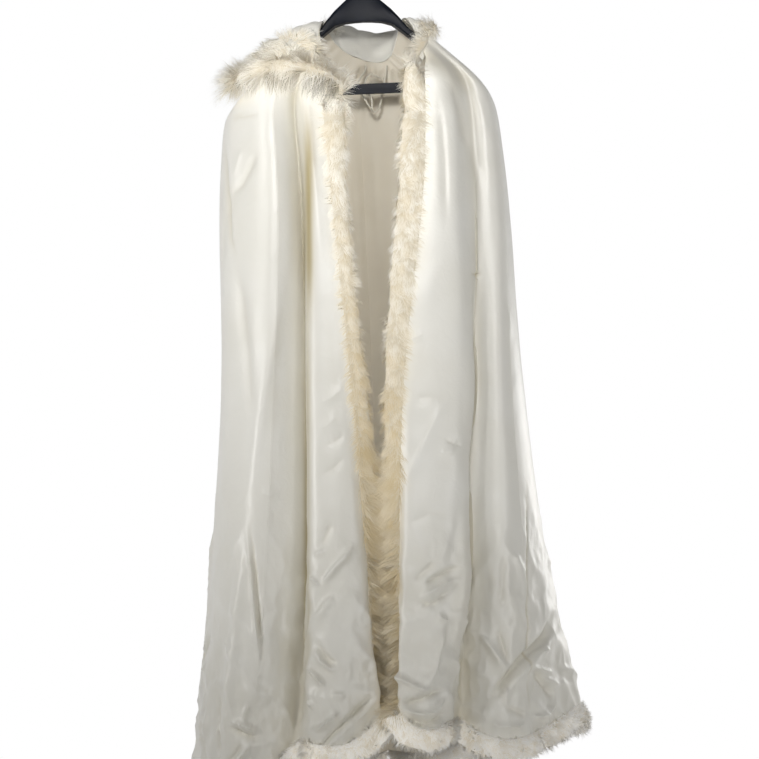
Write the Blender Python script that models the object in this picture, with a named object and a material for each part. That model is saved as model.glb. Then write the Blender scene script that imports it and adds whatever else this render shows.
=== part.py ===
"""Hooded bridal cape in ivory satin with long fur bands, hanging on a black coat hanger.

The origin is the bearing point inside the top of the hook. The front faces -Y and the wearer's
left is +X. Lengths in the tables are in millimetres, and everything built from them is in metres.
The cloth is one surface: columns run from the neckline to the hem, rows run round the body from the
wearer's right front edge over the back to the left front edge, and the panels are cut from it.
"""

import math
from typing import NamedTuple

import bmesh
import bpy
import numpy as np

MM = 0.001
SHARP_DEGREES = 50.0  # edges of the cloth's rim, which stay sharp in the shading

# Cloth and fur
WALL = 2.0  # satin and its interlining
LINING_WALL = 1.0
SEAM_GAP = 0.4  # between two panels, and between a panel and what is sewn to its edge
LINING_GAP = 0.5
FUR_GAP = 0.8
HOOD_FUR_GAP = 1.2
CORNER_GAP = 1.6  # added at the hood's left front corner, where its cloth runs slantwise to the roll
CORNER_FROM = 6.3  # places along the hood between which it grows
CORNER_FULL = 7.3

# Heights of the sections, below the hook's bearing point
SHOULDER_Z = -300.0
CHEST_Z = -400.0
WAIST_Z = -800.0
KNEE_Z = -1150.0
SHOULDER_ROWS = 4  # rows from the neckline to the shoulder section
BODY_Z = (-345.0, -400.0, -470.0, -550.0, -640.0, -720.0, -800.0, -900.0, -985.0, -1070.0, -1150.0)
HEM_ROWS = 3  # rows from the knee section to the hem

# The cloth's run over the hanger's arm: along the slope to a bend, then down to the shoulder section
ARM_SLOPE = 0.86
BEND_REACH = 0.95  # how far out the bend is, against the shoulder section
BEND_WEIGHT = 2.2  # how closely the cloth follows the arm before it turns down
BEND_ABOVE_SHOULDER = 12.0
BEND_BELOW_NECK = 6.0
NECK_SPREAD = 1.12  # how far the shoulder section spreads near the neck, against the chest section
NECK_PINCH = 0.16
SHOULDER_DEPTH = 0.88  # depth of the shoulder section, against the chest section

# Back: a half ellipse with flutes, between the two silhouette folds of the fronts
BACK_FLUTES = 14  # stretches between a crest and a valley
BACK_STEPS = 3  # columns in each of them
BACK_CENTRE = BACK_FLUTES // 2
BACK_HEM_DROP = -83.0  # the centre back hangs below the sides
FLUTE_SPREAD = 0.6  # how far a flute leans out to the side, against its height
FLUTE_FADE = 0.5  # power with which the flutes die away toward the sides


class BackSection(NamedTuple):
    """Depth of the back and height of its flutes at one section."""

    depth: float
    flute: float


BACK = {
    "chest": BackSection(depth=78.0, flute=7.0),
    "waist": BackSection(depth=112.0, flute=16.0),
    "knee": BackSection(depth=150.0, flute=24.0),
    "hem": BackSection(depth=188.0, flute=32.0),
}


class Fold(NamedTuple):
    """One crest or valley of a front: where it is at each section, and its place on the neckline."""

    name: str
    neck: float
    chest: tuple
    waist: tuple
    knee: tuple
    hem: tuple
    steps: int  # columns from this fold to the next


RIGHT_FRONT = (
    Fold("edge", 0.00, (-74, -91), (-48, -105), (-31, -112), (-24, -116, -1350), 1),
    Fold("roll", 0.08, (-85, -93), (-60, -108), (-35, -128), (-15, -136, -1364), 2),
    Fold("corner", 0.16, (-92, -94), (-75, -109), (-57, -138), (-35, -150, -1395), 2),
    Fold("strip", 0.28, (-100, -95), (-94, -109), (-90, -142), (-83, -168, -1418), 2),
    Fold("strip crest", 0.45, (-111, -91), (-121, -101), (-134, -130), (-146, -155, -1414), 1),
    Fold("tuck", 0.55, (-117, -72), (-129, -82), (-141, -106), (-155, -125, -1416), 2),
    Fold("valley", 0.70, (-127, -48), (-131, -48), (-142, -62), (-173, -90, -1432), 2),
    Fold("flute side", 0.90, (-140, -80), (-151, -70), (-166, -86), (-204, -108, -1456), 3),
    Fold("flute crest", 1.35, (-178, -94), (-204, -95), (-240, -110), (-277, -126, -1486), 2),
    Fold("hollow", 1.60, (-226, -66), (-252, -60), (-292, -72), (-335, -84, -1490), 2),
    Fold("side crest", 1.85, (-262, -36), (-280, -30), (-316, -30), (-362, -34, -1490), 1),
    Fold("silhouette", 2.05, (-277, 6), (-291, 8), (-328, 14), (-374, 22, -1490), 1),
)
LEFT_FRONT = (
    Fold("edge", 8.00, (102, -92), (47, -105), (24, -122), (19, -152, -1330), 1),
    Fold("roll", 7.90, (114, -94), (59, -108), (27, -138), (15, -168, -1344), 2),
    Fold("corner", 7.80, (125, -95), (77, -110), (49, -145), (28, -179, -1380), 2),
    Fold("panel", 7.65, (140, -94), (112, -110), (86, -146), (60, -183, -1391), 2),
    Fold("panel crest", 7.40, (160, -88), (158, -99), (128, -127), (98, -158, -1388), 1),
    Fold("tuck", 7.25, (173, -68), (168, -79), (135, -103), (109, -131, -1390), 2),
    Fold("valley", 7.00, (190, -50), (169, -48), (138, -60), (125, -80, -1404), 2),
    Fold("flute side", 6.75, (212, -58), (190, -64), (164, -86), (158, -110, -1420), 2),
    Fold("flute crest", 6.50, (229, -54), (216, -75), (212, -101), (202, -117, -1433), 3),
    Fold("side crest", 6.25, (244, -32), (252, -44), (268, -60), (288, -62, -1421), 2),
    Fold("silhouette", 6.00, (252, 6), (270, 8), (305, 12), (354, 22, -1406), 1),
)
# The fold and the column after it at which each side seam runs
RIGHT_SEAM = ("flute side", 2)
LEFT_SEAM = ("flute crest", 2)


class NeckPoint(NamedTuple):
    """A point of the neckline. Place 2 and 6 lie on the hanger's arms, and 4 is the nape."""

    place: float
    x: float
    y: float
    z: float


NECKLINE = (
    NeckPoint(0.0, -78, -72, -272),
    NeckPoint(0.6, -84, -54, -214),
    NeckPoint(1.2, -85, -32, -156),
    NeckPoint(1.6, -82, -16, -132),
    NeckPoint(2.0, -80, 0, -127),
    NeckPoint(2.4, -75, 18, -132),
    NeckPoint(3.0, -56, 40, -160),
    NeckPoint(4.0, 2, 56, -190),
    NeckPoint(5.0, 54, 46, -182),
    NeckPoint(5.6, 72, 20, -134),
    NeckPoint(6.0, 78, 0, -126),
    NeckPoint(6.4, 85, -16, -132),
    NeckPoint(7.0, 97, -37, -161),
    NeckPoint(8.0, 112, -66, -214),
)


class HoodPoint(NamedTuple):
    """The hood's face edge: the middle of its fur roll, the roll's half sizes, and the cloth's bulge."""

    place: float
    x: float
    y: float
    z: float
    half_width: float
    half_depth: float
    bulge: float


HOOD_EDGE = (
    HoodPoint(0.0, -45, -82, -264, 21, 18, 0),
    HoodPoint(0.4, -66, -106, -244, 25, 19, 3),
    HoodPoint(1.0, -143, -102, -222, 27, 20, 18),
    HoodPoint(1.5, -204, -80, -230, 28, 20, 22),
    HoodPoint(2.0, -242, -22, -232, 26, 20, 22),
    HoodPoint(2.5, -206, 46, -190, 25, 19, 18),
    HoodPoint(3.0, -150, 92, -152, 24, 18, 10),
    HoodPoint(3.5, -80, 128, -142, 24, 18, 0),
    HoodPoint(4.0, -5, 148, -160, 24, 18, 0),
    HoodPoint(4.5, 56, 132, -142, 24, 18, 0),
    HoodPoint(5.0, 96, 98, -136, 24, 16, 2),
    HoodPoint(5.5, 118, 50, -140, 24, 11, 5),
    HoodPoint(6.0, 120, 4, -139, 23, 9, 5),
    HoodPoint(6.5, 121, -28, -147, 22, 10, 4),
    HoodPoint(7.0, 119, -55, -161, 19, 13, 3),
    HoodPoint(7.5, 109, -81, -188, 18, 16, 2),
    HoodPoint(8.0, 86, -88, -222, 18, 18, 0),
)
HOOD_STEPS = 44  # columns over the whole hood
LAST_PLACE = 8.0  # of the neckline and of the hood's edge
RUN_STEP = 0.05  # places to each side from which the roll's run is read
HOOD_ROWS = (3, 3, 3, 3, 3)  # rows between the key points of its profile
HOOD_START = 5.6  # the hood's first row stands inside the neckline by this much
HOOD_MIDDLE_X = 8.0
FLAT_SHARES = (0.15, 0.3, 0.5, 0.7)  # key points of the plain cloth between the neck and the fur
# The hood's bag behind the nape: it rises, folds over and hangs as a pouch. A spread is against the
# neckline's distance from the middle, and the pouch's weight rises and falls between four places.
RISE_UP = 63.0
RISE_BACK = 30.0
RISE_SPREAD = 1.15
POUCH_NEAR_Y = 106.0
POUCH_NEAR_Z = -270.0
POUCH_NEAR_SPREAD = 1.2
POUCH_BOTTOM_Y = 132.0
POUCH_BOTTOM_Z = -452.0
POUCH_BOTTOM_SPREAD = 1.3
POUCH_BOTTOM_LIFT = 0.9  # how far the bottom rises to the sides, against its distance from the middle
POUCH_FAR_Y = 162.0
POUCH_FAR_Z = -285.0
POUCH_FAR_SPREAD = 1.6
POUCH_FROM = 2.1
POUCH_FULL = 3.5
POUCH_LESS = 4.6
POUCH_TO = 5.8


class BandWidth(NamedTuple):
    """Width of the fur down each front edge at a height, and half its depth."""

    z: float
    right: float
    left: float
    half_depth: float


FRONT_FUR = (
    BandWidth(-220, 46, 44, 18),
    BandWidth(-300, 46, 46, 17),
    BandWidth(-400, 36, 52, 14),
    BandWidth(-480, 32, 52, 12),
    BandWidth(-650, 30, 46, 11),
    BandWidth(-820, 34, 41, 11),
    BandWidth(-1000, 40, 37, 11),
    BandWidth(-1150, 40, 38, 10),
    BandWidth(-1400, 40, 40, 9),
)
BAND_TOP_ROW = {"right": SHOULDER_ROWS, "left": 3}
HEM_FUR_WIDTH = 40.0
HEM_FUR_HALF_DEPTH = 8.5
FUR_CORNER = 2  # hem columns that belong to the front band, round the corner
FUR_SECTION = (  # toward the cloth, across it: a flattened tube with a narrow flat to the cloth
    (1.0, 0.16),
    (0.68, 0.82),
    (-0.25, 1.0),
    (-0.95, 0.5),
    (-0.95, -0.5),
    (-0.25, -1.0),
    (0.68, -0.82),
    (1.0, -0.16),
)


class HangerSection(NamedTuple):
    """One section of the hanger's arm, on the +X side."""

    x: float
    top: float
    bottom: float
    half_depth: float


HANGER = (
    HangerSection(0, -66, -127, 7.5),
    HangerSection(16, -74, -127.5, 8.0),
    HangerSection(34, -90, -129, 9.5),
    HangerSection(52, -106.5, -134, 12.5),
    HangerSection(68, -124.5, -146, 13.0),
    HangerSection(80, -140, -156, 13.0),
    HangerSection(100, -158, -174, 14.0),
    HangerSection(130, -183, -198, 16.0),
    HangerSection(165, -214, -228, 17.0),
    HangerSection(196, -243, -256, 17.0),
    HangerSection(214, -260, -270, 15.0),
    HangerSection(222, -266, -272, 10.0),
)
HANGER_SECTION = ((1, 0.45), (0.72, 1), (-0.72, 1), (-1, 0.45), (-1, -0.6), (-0.8, -1), (0.8, -1), (1, -0.6))
BAR_Z = -251.0
BAR_HALF_HEIGHT = 9.2
BAR_HALF_DEPTH = 3.2
BAR_HALF_LENGTH = 195.0

HOOK_WIRE = 2.0  # radius
HOOK_INSIDE = 20.0  # radius of the bend
HOOK_SEAT_GAP = 0.3
HOOK_STEM = ((0.0, -60.0), (0.0, -52.0), (6.0, -45.0), (15.0, -36.0))  # x and z, below the bend
HOOK_FROM_DEGREES = -18.0
HOOK_TO_DEGREES = 192.0
HOOK_STEPS = 12


class CordPoint(NamedTuple):
    """A point that a neck cord passes."""

    x: float
    y: float
    z: float


CORD_RADIUS = 1.8
LONG_CORD = (
    CordPoint(1, 50.5, -196),
    CordPoint(0, 44, -208),
    CordPoint(-6, 38, -217),
    CordPoint(-13, 30, -230),
    CordPoint(-12, 25, -248),
    CordPoint(-3, 24, -264),
    CordPoint(6, 25, -280),
    CordPoint(14, 27, -289),
    CordPoint(22, 29, -283),
    CordPoint(28, 31, -266),
    CordPoint(31, 33, -248),
    CordPoint(36, 37, -228),
    CordPoint(40, 44, -209),
    CordPoint(41, 49.5, -199),
)
SHORT_CORD = (
    CordPoint(27, 38, -223),
    CordPoint(21, 33, -221),
    CordPoint(11, 27, -218),
    CordPoint(2, 20, -226),
    CordPoint(-1, 15, -240),
    CordPoint(5, 13, -256),
    CordPoint(10, 14, -268),
    CordPoint(10, 16, -286),
)
CORD_SPACING = 8.0
KNOT_RADIUS = 4.6
KNOT_GAP = 0.4

SATIN = ("satin", (0.87, 0.86, 0.82), 0.42, 0.0)
LINING = ("lining", (0.71, 0.67, 0.58), 0.6, 0.0)
FUR = ("fur", (0.91, 0.88, 0.80), 0.9, 0.0)
CORD = ("cord", (0.90, 0.88, 0.83), 0.7, 0.0)
PLASTIC = ("black plastic", (0.015, 0.018, 0.028), 0.4, 0.0)
STEEL = ("steel", (0.6, 0.6, 0.6), 0.3, 1.0)


def through(knots, values, at):
    """A smooth line through values at rising knots, read at one knot position."""
    last = len(knots) - 2
    i = min(max(int(np.searchsorted(knots, at)) - 1, 0), last)
    steps = np.diff(knots)
    slopes = np.diff(values, axis=0) / steps[:, None]

    def tangent(k):
        if k == 0:
            return slopes[0]
        if k == len(knots) - 1:
            return slopes[-1]
        before, after = steps[k - 1], steps[k]
        return (slopes[k - 1] * after + slopes[k] * before) / (before + after)

    t = (at - knots[i]) / steps[i]
    start, end = values[i], values[i + 1]
    rise, fall = tangent(i) * steps[i], tangent(i + 1) * steps[i]
    return (
        start * (2 * t**3 - 3 * t**2 + 1)
        + end * (3 * t**2 - 2 * t**3)
        + rise * (t**3 - 2 * t**2 + t)
        + fall * (t**3 - t**2)
    )


def smoothstep(low, high, at):
    t = min(max((at - low) / (high - low), 0.0), 1.0)
    return t * t * (3 - 2 * t)


def unit(vectors):
    return vectors / np.linalg.norm(vectors, axis=-1, keepdims=True)


def square_to(vector, run):
    """The unit part of a vector that is square to a run."""
    return unit(vector - run * np.dot(vector, run))


def neckline(place):
    knots = np.array([p.place for p in NECKLINE])
    values = np.array([(p.x, p.y, p.z) for p in NECKLINE], float)
    return through(knots, values, place)


def back_folds():
    """The back's crests and valleys, worked out between the fronts' silhouette folds."""
    right, left = RIGHT_FRONT[-1], LEFT_FRONT[-1]
    rows = []
    for k in range(1, BACK_FLUTES):
        share = k / BACK_FLUTES
        turn = math.pi * share
        sign = 1.0 if (k - BACK_CENTRE) % 2 == 0 else -1.0
        at = {}
        for section in ("chest", "waist", "knee", "hem"):
            a, b = getattr(right, section), getattr(left, section)
            middle, half = (a[0] + b[0]) / 2, (b[0] - a[0]) / 2
            base_y = a[1] + (b[1] - a[1]) * share
            out = sign * BACK[section].flute * math.sin(turn) ** FLUTE_FADE
            x = middle - (half + FLUTE_SPREAD * out) * math.cos(turn)
            y = base_y + (BACK[section].depth - base_y + out) * math.sin(turn)
            at[section] = (x, y)
        hem_z = right.hem[2] + (left.hem[2] - right.hem[2]) * share + BACK_HEM_DROP * math.sin(turn)
        neck = right.neck + (left.neck - right.neck) * share
        rows.append(
            Fold(f"back {k}", neck, at["chest"], at["waist"], at["knee"], (*at["hem"], hem_z), BACK_STEPS)
        )
    return rows


def all_folds():
    """Every fold from the right front edge over the back to the left front edge."""
    right = list(RIGHT_FRONT[:-1]) + [RIGHT_FRONT[-1]._replace(steps=BACK_STEPS)]
    left = list(reversed(LEFT_FRONT))
    shifted = []
    for i, fold in enumerate(left):
        steps = left[i + 1].steps if i + 1 < len(left) else 1
        shifted.append(fold._replace(steps=steps))
    return right + back_folds() + shifted


def fold_point(fold, row):
    """Where a fold's line is at a row of the surface."""
    shoulder = shoulder_point(fold)
    if row < SHOULDER_ROWS:
        start = neckline(fold.neck)
        reach = shoulder - start
        out = math.hypot(reach[0], reach[1])
        bend = start + BEND_REACH * reach
        bend[2] = max(start[2] - ARM_SLOPE * BEND_REACH * out, SHOULDER_Z + BEND_ABOVE_SHOULDER)
        bend[2] = min(bend[2], start[2] - BEND_BELOW_NECK)
        t = row / SHOULDER_ROWS
        a, b, c = (1 - t) ** 2, 2 * BEND_WEIGHT * t * (1 - t), t**2
        return (start * a + bend * b + shoulder * c) / (a + b + c)
    if row == SHOULDER_ROWS:
        return shoulder
    sections = [
        (SHOULDER_Z, shoulder[:2]),
        (CHEST_Z, fold.chest),
        (WAIST_Z, fold.waist),
        (KNEE_Z, fold.knee),
        (fold.hem[2], fold.hem[:2]),
    ]
    knots = np.array([-z for z, _ in sections], float)
    values = np.array([xy for _, xy in sections], float)
    row -= SHOULDER_ROWS + 1
    if row < len(BODY_Z):
        z = BODY_Z[row]
    else:
        z = KNEE_Z + (fold.hem[2] - KNEE_Z) * (row - len(BODY_Z) + 1) / HEM_ROWS
    x, y = through(knots, values, -z)
    return np.array([x, y, z])


def shoulder_point(fold):
    edge = RIGHT_FRONT[-1].chest[0] if fold.chest[0] < 0 else LEFT_FRONT[-1].chest[0]
    spread = NECK_SPREAD - NECK_PINCH * fold.chest[0] / edge
    return np.array([fold.chest[0] * spread, fold.chest[1] * SHOULDER_DEPTH, SHOULDER_Z])


def cape_surface():
    """Points of the cape's outer face, rows by columns, and the column at which each fold lies."""
    folds = all_folds()
    rows = SHOULDER_ROWS + 1 + len(BODY_Z) + HEM_ROWS
    columns = {}
    lines = []
    for row in range(rows):
        marks = np.array([fold_point(fold, row) for fold in folds])
        lengths = np.linalg.norm(np.diff(marks, axis=0), axis=1)
        knots = np.concatenate([[0.0], np.cumsum(lengths)])
        line = []
        for i, fold in enumerate(folds[:-1]):
            columns[i] = len(line)
            for step in range(fold.steps):
                at = knots[i] + (knots[i + 1] - knots[i]) * step / fold.steps
                line.append(through(knots, marks, at))
        columns[len(folds) - 1] = len(line)
        line.append(marks[-1])
        lines.append(line)
    return np.array(lines), columns, folds


def outward(points):
    """Unit normals of a grid of points, pointing out of the body.

    At its upper corners the grid's two directions run nearly the same way, so each of those corners
    takes the normal of the point below it.
    """
    across = np.gradient(points, axis=1)
    down = np.gradient(points, axis=0)
    normals = unit(np.cross(across, down))
    normals[0, 0], normals[0, -1] = normals[1, 0], normals[1, -1]
    return normals


def trimmed(points, first, last):
    """Columns first to last of a grid, each cut edge moved back by half a seam gap."""
    part = points[:, first : last + 1].copy()
    if first > 0:
        part[:, 0] += unit(points[:, first + 1] - points[:, first]) * SEAM_GAP / 2
    if last < points.shape[1] - 1:
        part[:, -1] += unit(points[:, last - 1] - points[:, last]) * SEAM_GAP / 2
    return part


def new_object(name, mesh, material):
    thing = bpy.data.objects.new(name, mesh)
    thing.data.materials.append(material)
    bpy.context.scene.collection.objects.link(thing)
    return thing


def wall_object(name, outer, inner, material):
    """A closed sheet between two grids of points, in millimetres."""
    rows, columns = outer.shape[:2]
    bm = bmesh.new()
    faces = []
    grids = []
    for grid in (outer, inner):
        grids.append([[bm.verts.new(grid[r, c] * MM) for c in range(columns)] for r in range(rows)])
    for side, flip in zip(grids, (False, True)):
        for r in range(rows - 1):
            for c in range(columns - 1):
                a, b = side[r][c], side[r][c + 1]
                d, e = side[r + 1][c], side[r + 1][c + 1]
                for corners in ((a, d, b), (b, d, e)):
                    faces.append(tuple(reversed(corners)) if flip else corners)
    top, under = grids
    rim = [(0, c) for c in range(columns)]
    rim += [(r, columns - 1) for r in range(1, rows)]
    rim += [(rows - 1, c) for c in range(columns - 2, -1, -1)]
    rim += [(r, 0) for r in range(rows - 2, 0, -1)]
    for (r0, c0), (r1, c1) in zip(rim, rim[1:] + rim[:1]):
        faces.append((top[r0][c0], top[r1][c1], under[r1][c1]))
        faces.append((top[r0][c0], under[r1][c1], under[r0][c0]))
    for corners in faces:
        bm.faces.new(corners)
    bmesh.ops.recalc_face_normals(bm, faces=bm.faces[:])
    mesh = bpy.data.meshes.new(name)
    bm.to_mesh(mesh)
    bm.free()
    thing = new_object(name, mesh, material)
    mesh.shade_smooth()
    mesh.set_sharp_from_angle(angle=math.radians(SHARP_DEGREES))
    return thing


class Station(NamedTuple):
    """One section of a fur roll: its middle, its run, the way to the cloth, and its half sizes."""

    middle: np.ndarray
    run: np.ndarray
    to_cloth: np.ndarray
    half_width: float
    half_depth: float


def fur_rings(stations):
    """The rings of points of a fur roll that runs once round through its stations."""
    rings = []
    for station in stations:
        across = np.cross(station.run, station.to_cloth)
        rings.append(
            [
                station.middle + station.to_cloth * a * station.half_width + across * b * station.half_depth
                for a, b in FUR_SECTION
            ]
        )
    return np.array(rings), np.array([s.run for s in stations])


def fur_object(name, rings, along, material, first, last):
    """A closed roll over rings first to last. Its ends stand back by half a seam gap."""
    order = [k % len(rings) for k in range(first, last + 1)]
    part = rings[order].copy()
    part[0] += along[order[0]] * SEAM_GAP / 2
    part[-1] -= along[order[-1]] * SEAM_GAP / 2
    bm = bmesh.new()
    loops = [[bm.verts.new(point * MM) for point in ring] for ring in part]
    sides = len(FUR_SECTION)
    for one, two in zip(loops, loops[1:]):
        for k in range(sides):
            bm.faces.new((one[k], one[(k + 1) % sides], two[(k + 1) % sides], two[k]))
    bm.faces.new(list(reversed(loops[0])))
    bm.faces.new(loops[-1])
    bmesh.ops.recalc_face_normals(bm, faces=bm.faces[:])
    bmesh.ops.triangulate(bm, faces=bm.faces[:], quad_method="SHORT_EDGE")
    mesh = bpy.data.meshes.new(name)
    bm.to_mesh(mesh)
    bm.free()
    mesh.shade_smooth()
    return new_object(name, mesh, material)


def seam_column(folds, columns, seam, first_half):
    name, step = seam
    indices = [i for i, fold in enumerate(folds) if fold.name == name]
    if first_half:
        return columns[indices[0]] + step
    return columns[indices[-1]] - step


def hood_edge(place):
    knots = np.array([p.place for p in HOOD_EDGE])
    values = np.array([tuple(p)[1:] for p in HOOD_EDGE], float)
    return through(knots, values, place)


def hood_profile(place):
    """The hood's cloth at one place, from the neckline to the fur, as key points."""
    edge, (half_width, half_depth, bulge) = hood_edge(place)[:3], hood_edge(place)[3:]
    up = np.array([0.0, 0.0, 1.0])
    neck = neckline(place)
    inward = unit(np.array([HOOD_MIDDLE_X - neck[0], -neck[1], 0.0]))
    start = neck + unit(inward + up * ARM_SLOPE) * HOOD_START
    weight = smoothstep(POUCH_FROM, POUCH_FULL, place) * (1 - smoothstep(POUCH_LESS, POUCH_TO, place))
    rise = np.array([start[0] * RISE_SPREAD, start[1] + RISE_BACK, start[2] + RISE_UP])
    near = np.array([start[0] * POUCH_NEAR_SPREAD, POUCH_NEAR_Y, POUCH_NEAR_Z])
    lift = abs(start[0]) * POUCH_BOTTOM_LIFT
    bottom = np.array([start[0] * POUCH_BOTTOM_SPREAD, POUCH_BOTTOM_Y, POUCH_BOTTOM_Z + lift])
    far_x = 0.5 * (start[0] * POUCH_FAR_SPREAD + edge[0])
    far = np.array([far_x, POUCH_FAR_Y, POUCH_FAR_Z])
    ahead, behind = min(place + RUN_STEP, LAST_PLACE), max(place - RUN_STEP, 0.0)
    run = unit(hood_edge(ahead)[:3] - hood_edge(behind)[:3])
    stand_off = half_width + HOOD_FUR_GAP + CORNER_GAP * smoothstep(CORNER_FROM, CORNER_FULL, place)
    reach = edge + square_to(start - edge, run) * stand_off - start
    flat = [start + reach * t + up * bulge * math.sin(math.pi * t) for t in FLAT_SHARES]
    keys = [start] + [a + (b - a) * weight for a, b in zip(flat, (rise, near, bottom, far))]
    to_cloth = square_to(keys[-1] - edge, run)
    keys.append(edge + to_cloth * stand_off)
    return np.array(keys), Station(edge, run, to_cloth, half_width, half_depth)


def hood_surface():
    """Points of the hood's lined face, rows from the neckline to the fur, and the fur's stations."""
    columns = []
    stations = []
    for step in range(HOOD_STEPS + 1):
        keys, station = hood_profile(LAST_PLACE * step / HOOD_STEPS)
        lengths = np.linalg.norm(np.diff(keys, axis=0), axis=1)
        knots = np.concatenate([[0.0], np.cumsum(lengths)])
        column = []
        for i, steps in enumerate(HOOD_ROWS):
            column += [through(knots, keys, knots[i] + lengths[i] * step / steps) for step in range(steps)]
        columns.append(column + [keys[-1]])
        stations.append(station)
    return np.swapaxes(np.array(columns), 0, 1), stations


def border_stations(points, normals):
    """Stations of the fur down the right front edge, along the hem and up the left front edge."""
    rows, columns = points.shape[:2]
    places = [(row, 0) for row in range(BAND_TOP_ROW["right"], rows)]
    places += [(rows - 1, column) for column in range(1, columns)]
    places += [(row, columns - 1) for row in range(rows - 2, BAND_TOP_ROW["left"] - 1, -1)]
    line = np.array([points[place] - normals[place] * WALL / 2 for place in places])
    runs = unit(np.gradient(line, axis=0))
    knots = np.array([-b.z for b in FRONT_FUR], float)
    stations = []
    for place, point, run in zip(places, line, runs):
        out = unit(np.cross(normals[place], run))
        if 0 < place[1] < columns - 1:
            half, deep = HEM_FUR_WIDTH / 2, HEM_FUR_HALF_DEPTH
        else:
            side = "right" if place[1] == 0 else "left"
            sizes = np.array([[getattr(b, side) / 2, b.half_depth] for b in FRONT_FUR], float)
            half, deep = through(knots, sizes, -point[2])
        stations.append(Station(point + out * (half + FUR_GAP), run, -out, half, deep))
    return stations, places


def make_hanger(plastic, steel):
    """The hanger's arms and trouser bar as one body, and the hook over it."""
    sections = [s._replace(x=-s.x) for s in reversed(HANGER[1:])] + list(HANGER)
    bm = bmesh.new()
    loops = []
    for s in sections:
        middle, half = (s.top + s.bottom) / 2, (s.top - s.bottom) / 2
        loops.append(
            [bm.verts.new((s.x * MM, a * s.half_depth * MM, (middle + b * half) * MM)) for a, b in HANGER_SECTION]
        )
    sides = len(HANGER_SECTION)
    for one, two in zip(loops, loops[1:]):
        for k in range(sides):
            bm.faces.new((one[k], one[(k + 1) % sides], two[(k + 1) % sides], two[k]))
    bm.faces.new(loops[0])
    bm.faces.new(loops[-1])
    bmesh.ops.recalc_face_normals(bm, faces=bm.faces[:])
    mesh = bpy.data.meshes.new("hanger_body")
    bm.to_mesh(mesh)
    bm.free()
    body = new_object("hanger_body", mesh, plastic)

    bm = bmesh.new()
    bmesh.ops.create_cube(bm, size=1.0)
    size = (2 * BAR_HALF_LENGTH * MM, 2 * BAR_HALF_DEPTH * MM, 2 * BAR_HALF_HEIGHT * MM)
    bmesh.ops.scale(bm, vec=size, verts=bm.verts[:])
    bmesh.ops.translate(bm, vec=(0, 0, BAR_Z * MM), verts=bm.verts[:])
    mesh = bpy.data.meshes.new("trouser_bar")
    bm.to_mesh(mesh)
    bm.free()
    bar = new_object("trouser_bar", mesh, plastic)
    bar.hide_render = True
    bar.display_type = "WIRE"
    union = body.modifiers.new("bar joined on", "BOOLEAN")
    union.operation = "UNION"
    union.object = bar

    bend = HOOK_INSIDE + HOOK_WIRE
    centre = -HOOK_INSIDE
    path = [(0.0, HANGER[0].top + HOOK_SEAT_GAP), *HOOK_STEM]
    for k in range(HOOK_STEPS + 1):
        angle = math.radians(HOOK_FROM_DEGREES + (HOOK_TO_DEGREES - HOOK_FROM_DEGREES) * k / HOOK_STEPS)
        path.append((bend * math.cos(angle), centre + bend * math.sin(angle)))
    curve = bpy.data.curves.new("hanger_hook", "CURVE")
    curve.dimensions = "3D"
    curve.bevel_depth = HOOK_WIRE * MM
    curve.bevel_resolution = 2
    curve.use_fill_caps = True
    spline = curve.splines.new("POLY")
    spline.points.add(len(path) - 1)
    for point, (x, z) in zip(spline.points, path):
        point.co = (x * MM, 0.0, z * MM, 1.0)
    new_object("hanger_hook", curve, steel)


def make_cord(name, route, material):
    """A thin round cord read from a smooth line through its route."""
    points = np.array(route, float)
    knots = np.concatenate([[0.0], np.cumsum(np.linalg.norm(np.diff(points, axis=0), axis=1))])
    count = max(int(knots[-1] / CORD_SPACING), 4)
    curve = bpy.data.curves.new(name, "CURVE")
    curve.dimensions = "3D"
    curve.bevel_depth = CORD_RADIUS * MM
    curve.bevel_resolution = 2
    curve.use_fill_caps = True
    spline = curve.splines.new("POLY")
    spline.points.add(count)
    for i, point in enumerate(spline.points):
        x, y, z = through(knots, points, knots[-1] * i / count) * MM
        point.co = (x, y, z, 1.0)
    return new_object(name, curve, material)


def make_knot(material):
    """The small knot at the short cord's upper end."""
    bm = bmesh.new()
    bmesh.ops.create_icosphere(bm, subdivisions=2, radius=KNOT_RADIUS * MM)
    start = np.array(SHORT_CORD[0])
    run = unit(start - np.array(SHORT_CORD[1]))
    place = (start + run * (KNOT_RADIUS + KNOT_GAP)) * MM
    bmesh.ops.translate(bm, vec=tuple(place), verts=bm.verts[:])
    mesh = bpy.data.meshes.new("cord_knot")
    bm.to_mesh(mesh)
    bm.free()
    mesh.shade_smooth()
    return new_object("cord_knot", mesh, material)


def make_material(settings):
    name, colour, roughness, metallic = settings
    material = bpy.data.materials.new(name)
    material.use_nodes = True
    shader = material.node_tree.nodes["Principled BSDF"]
    shader.inputs["Base Color"].default_value = (*colour, 1.0)
    shader.inputs["Roughness"].default_value = roughness
    shader.inputs["Metallic"].default_value = metallic
    return material


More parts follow.
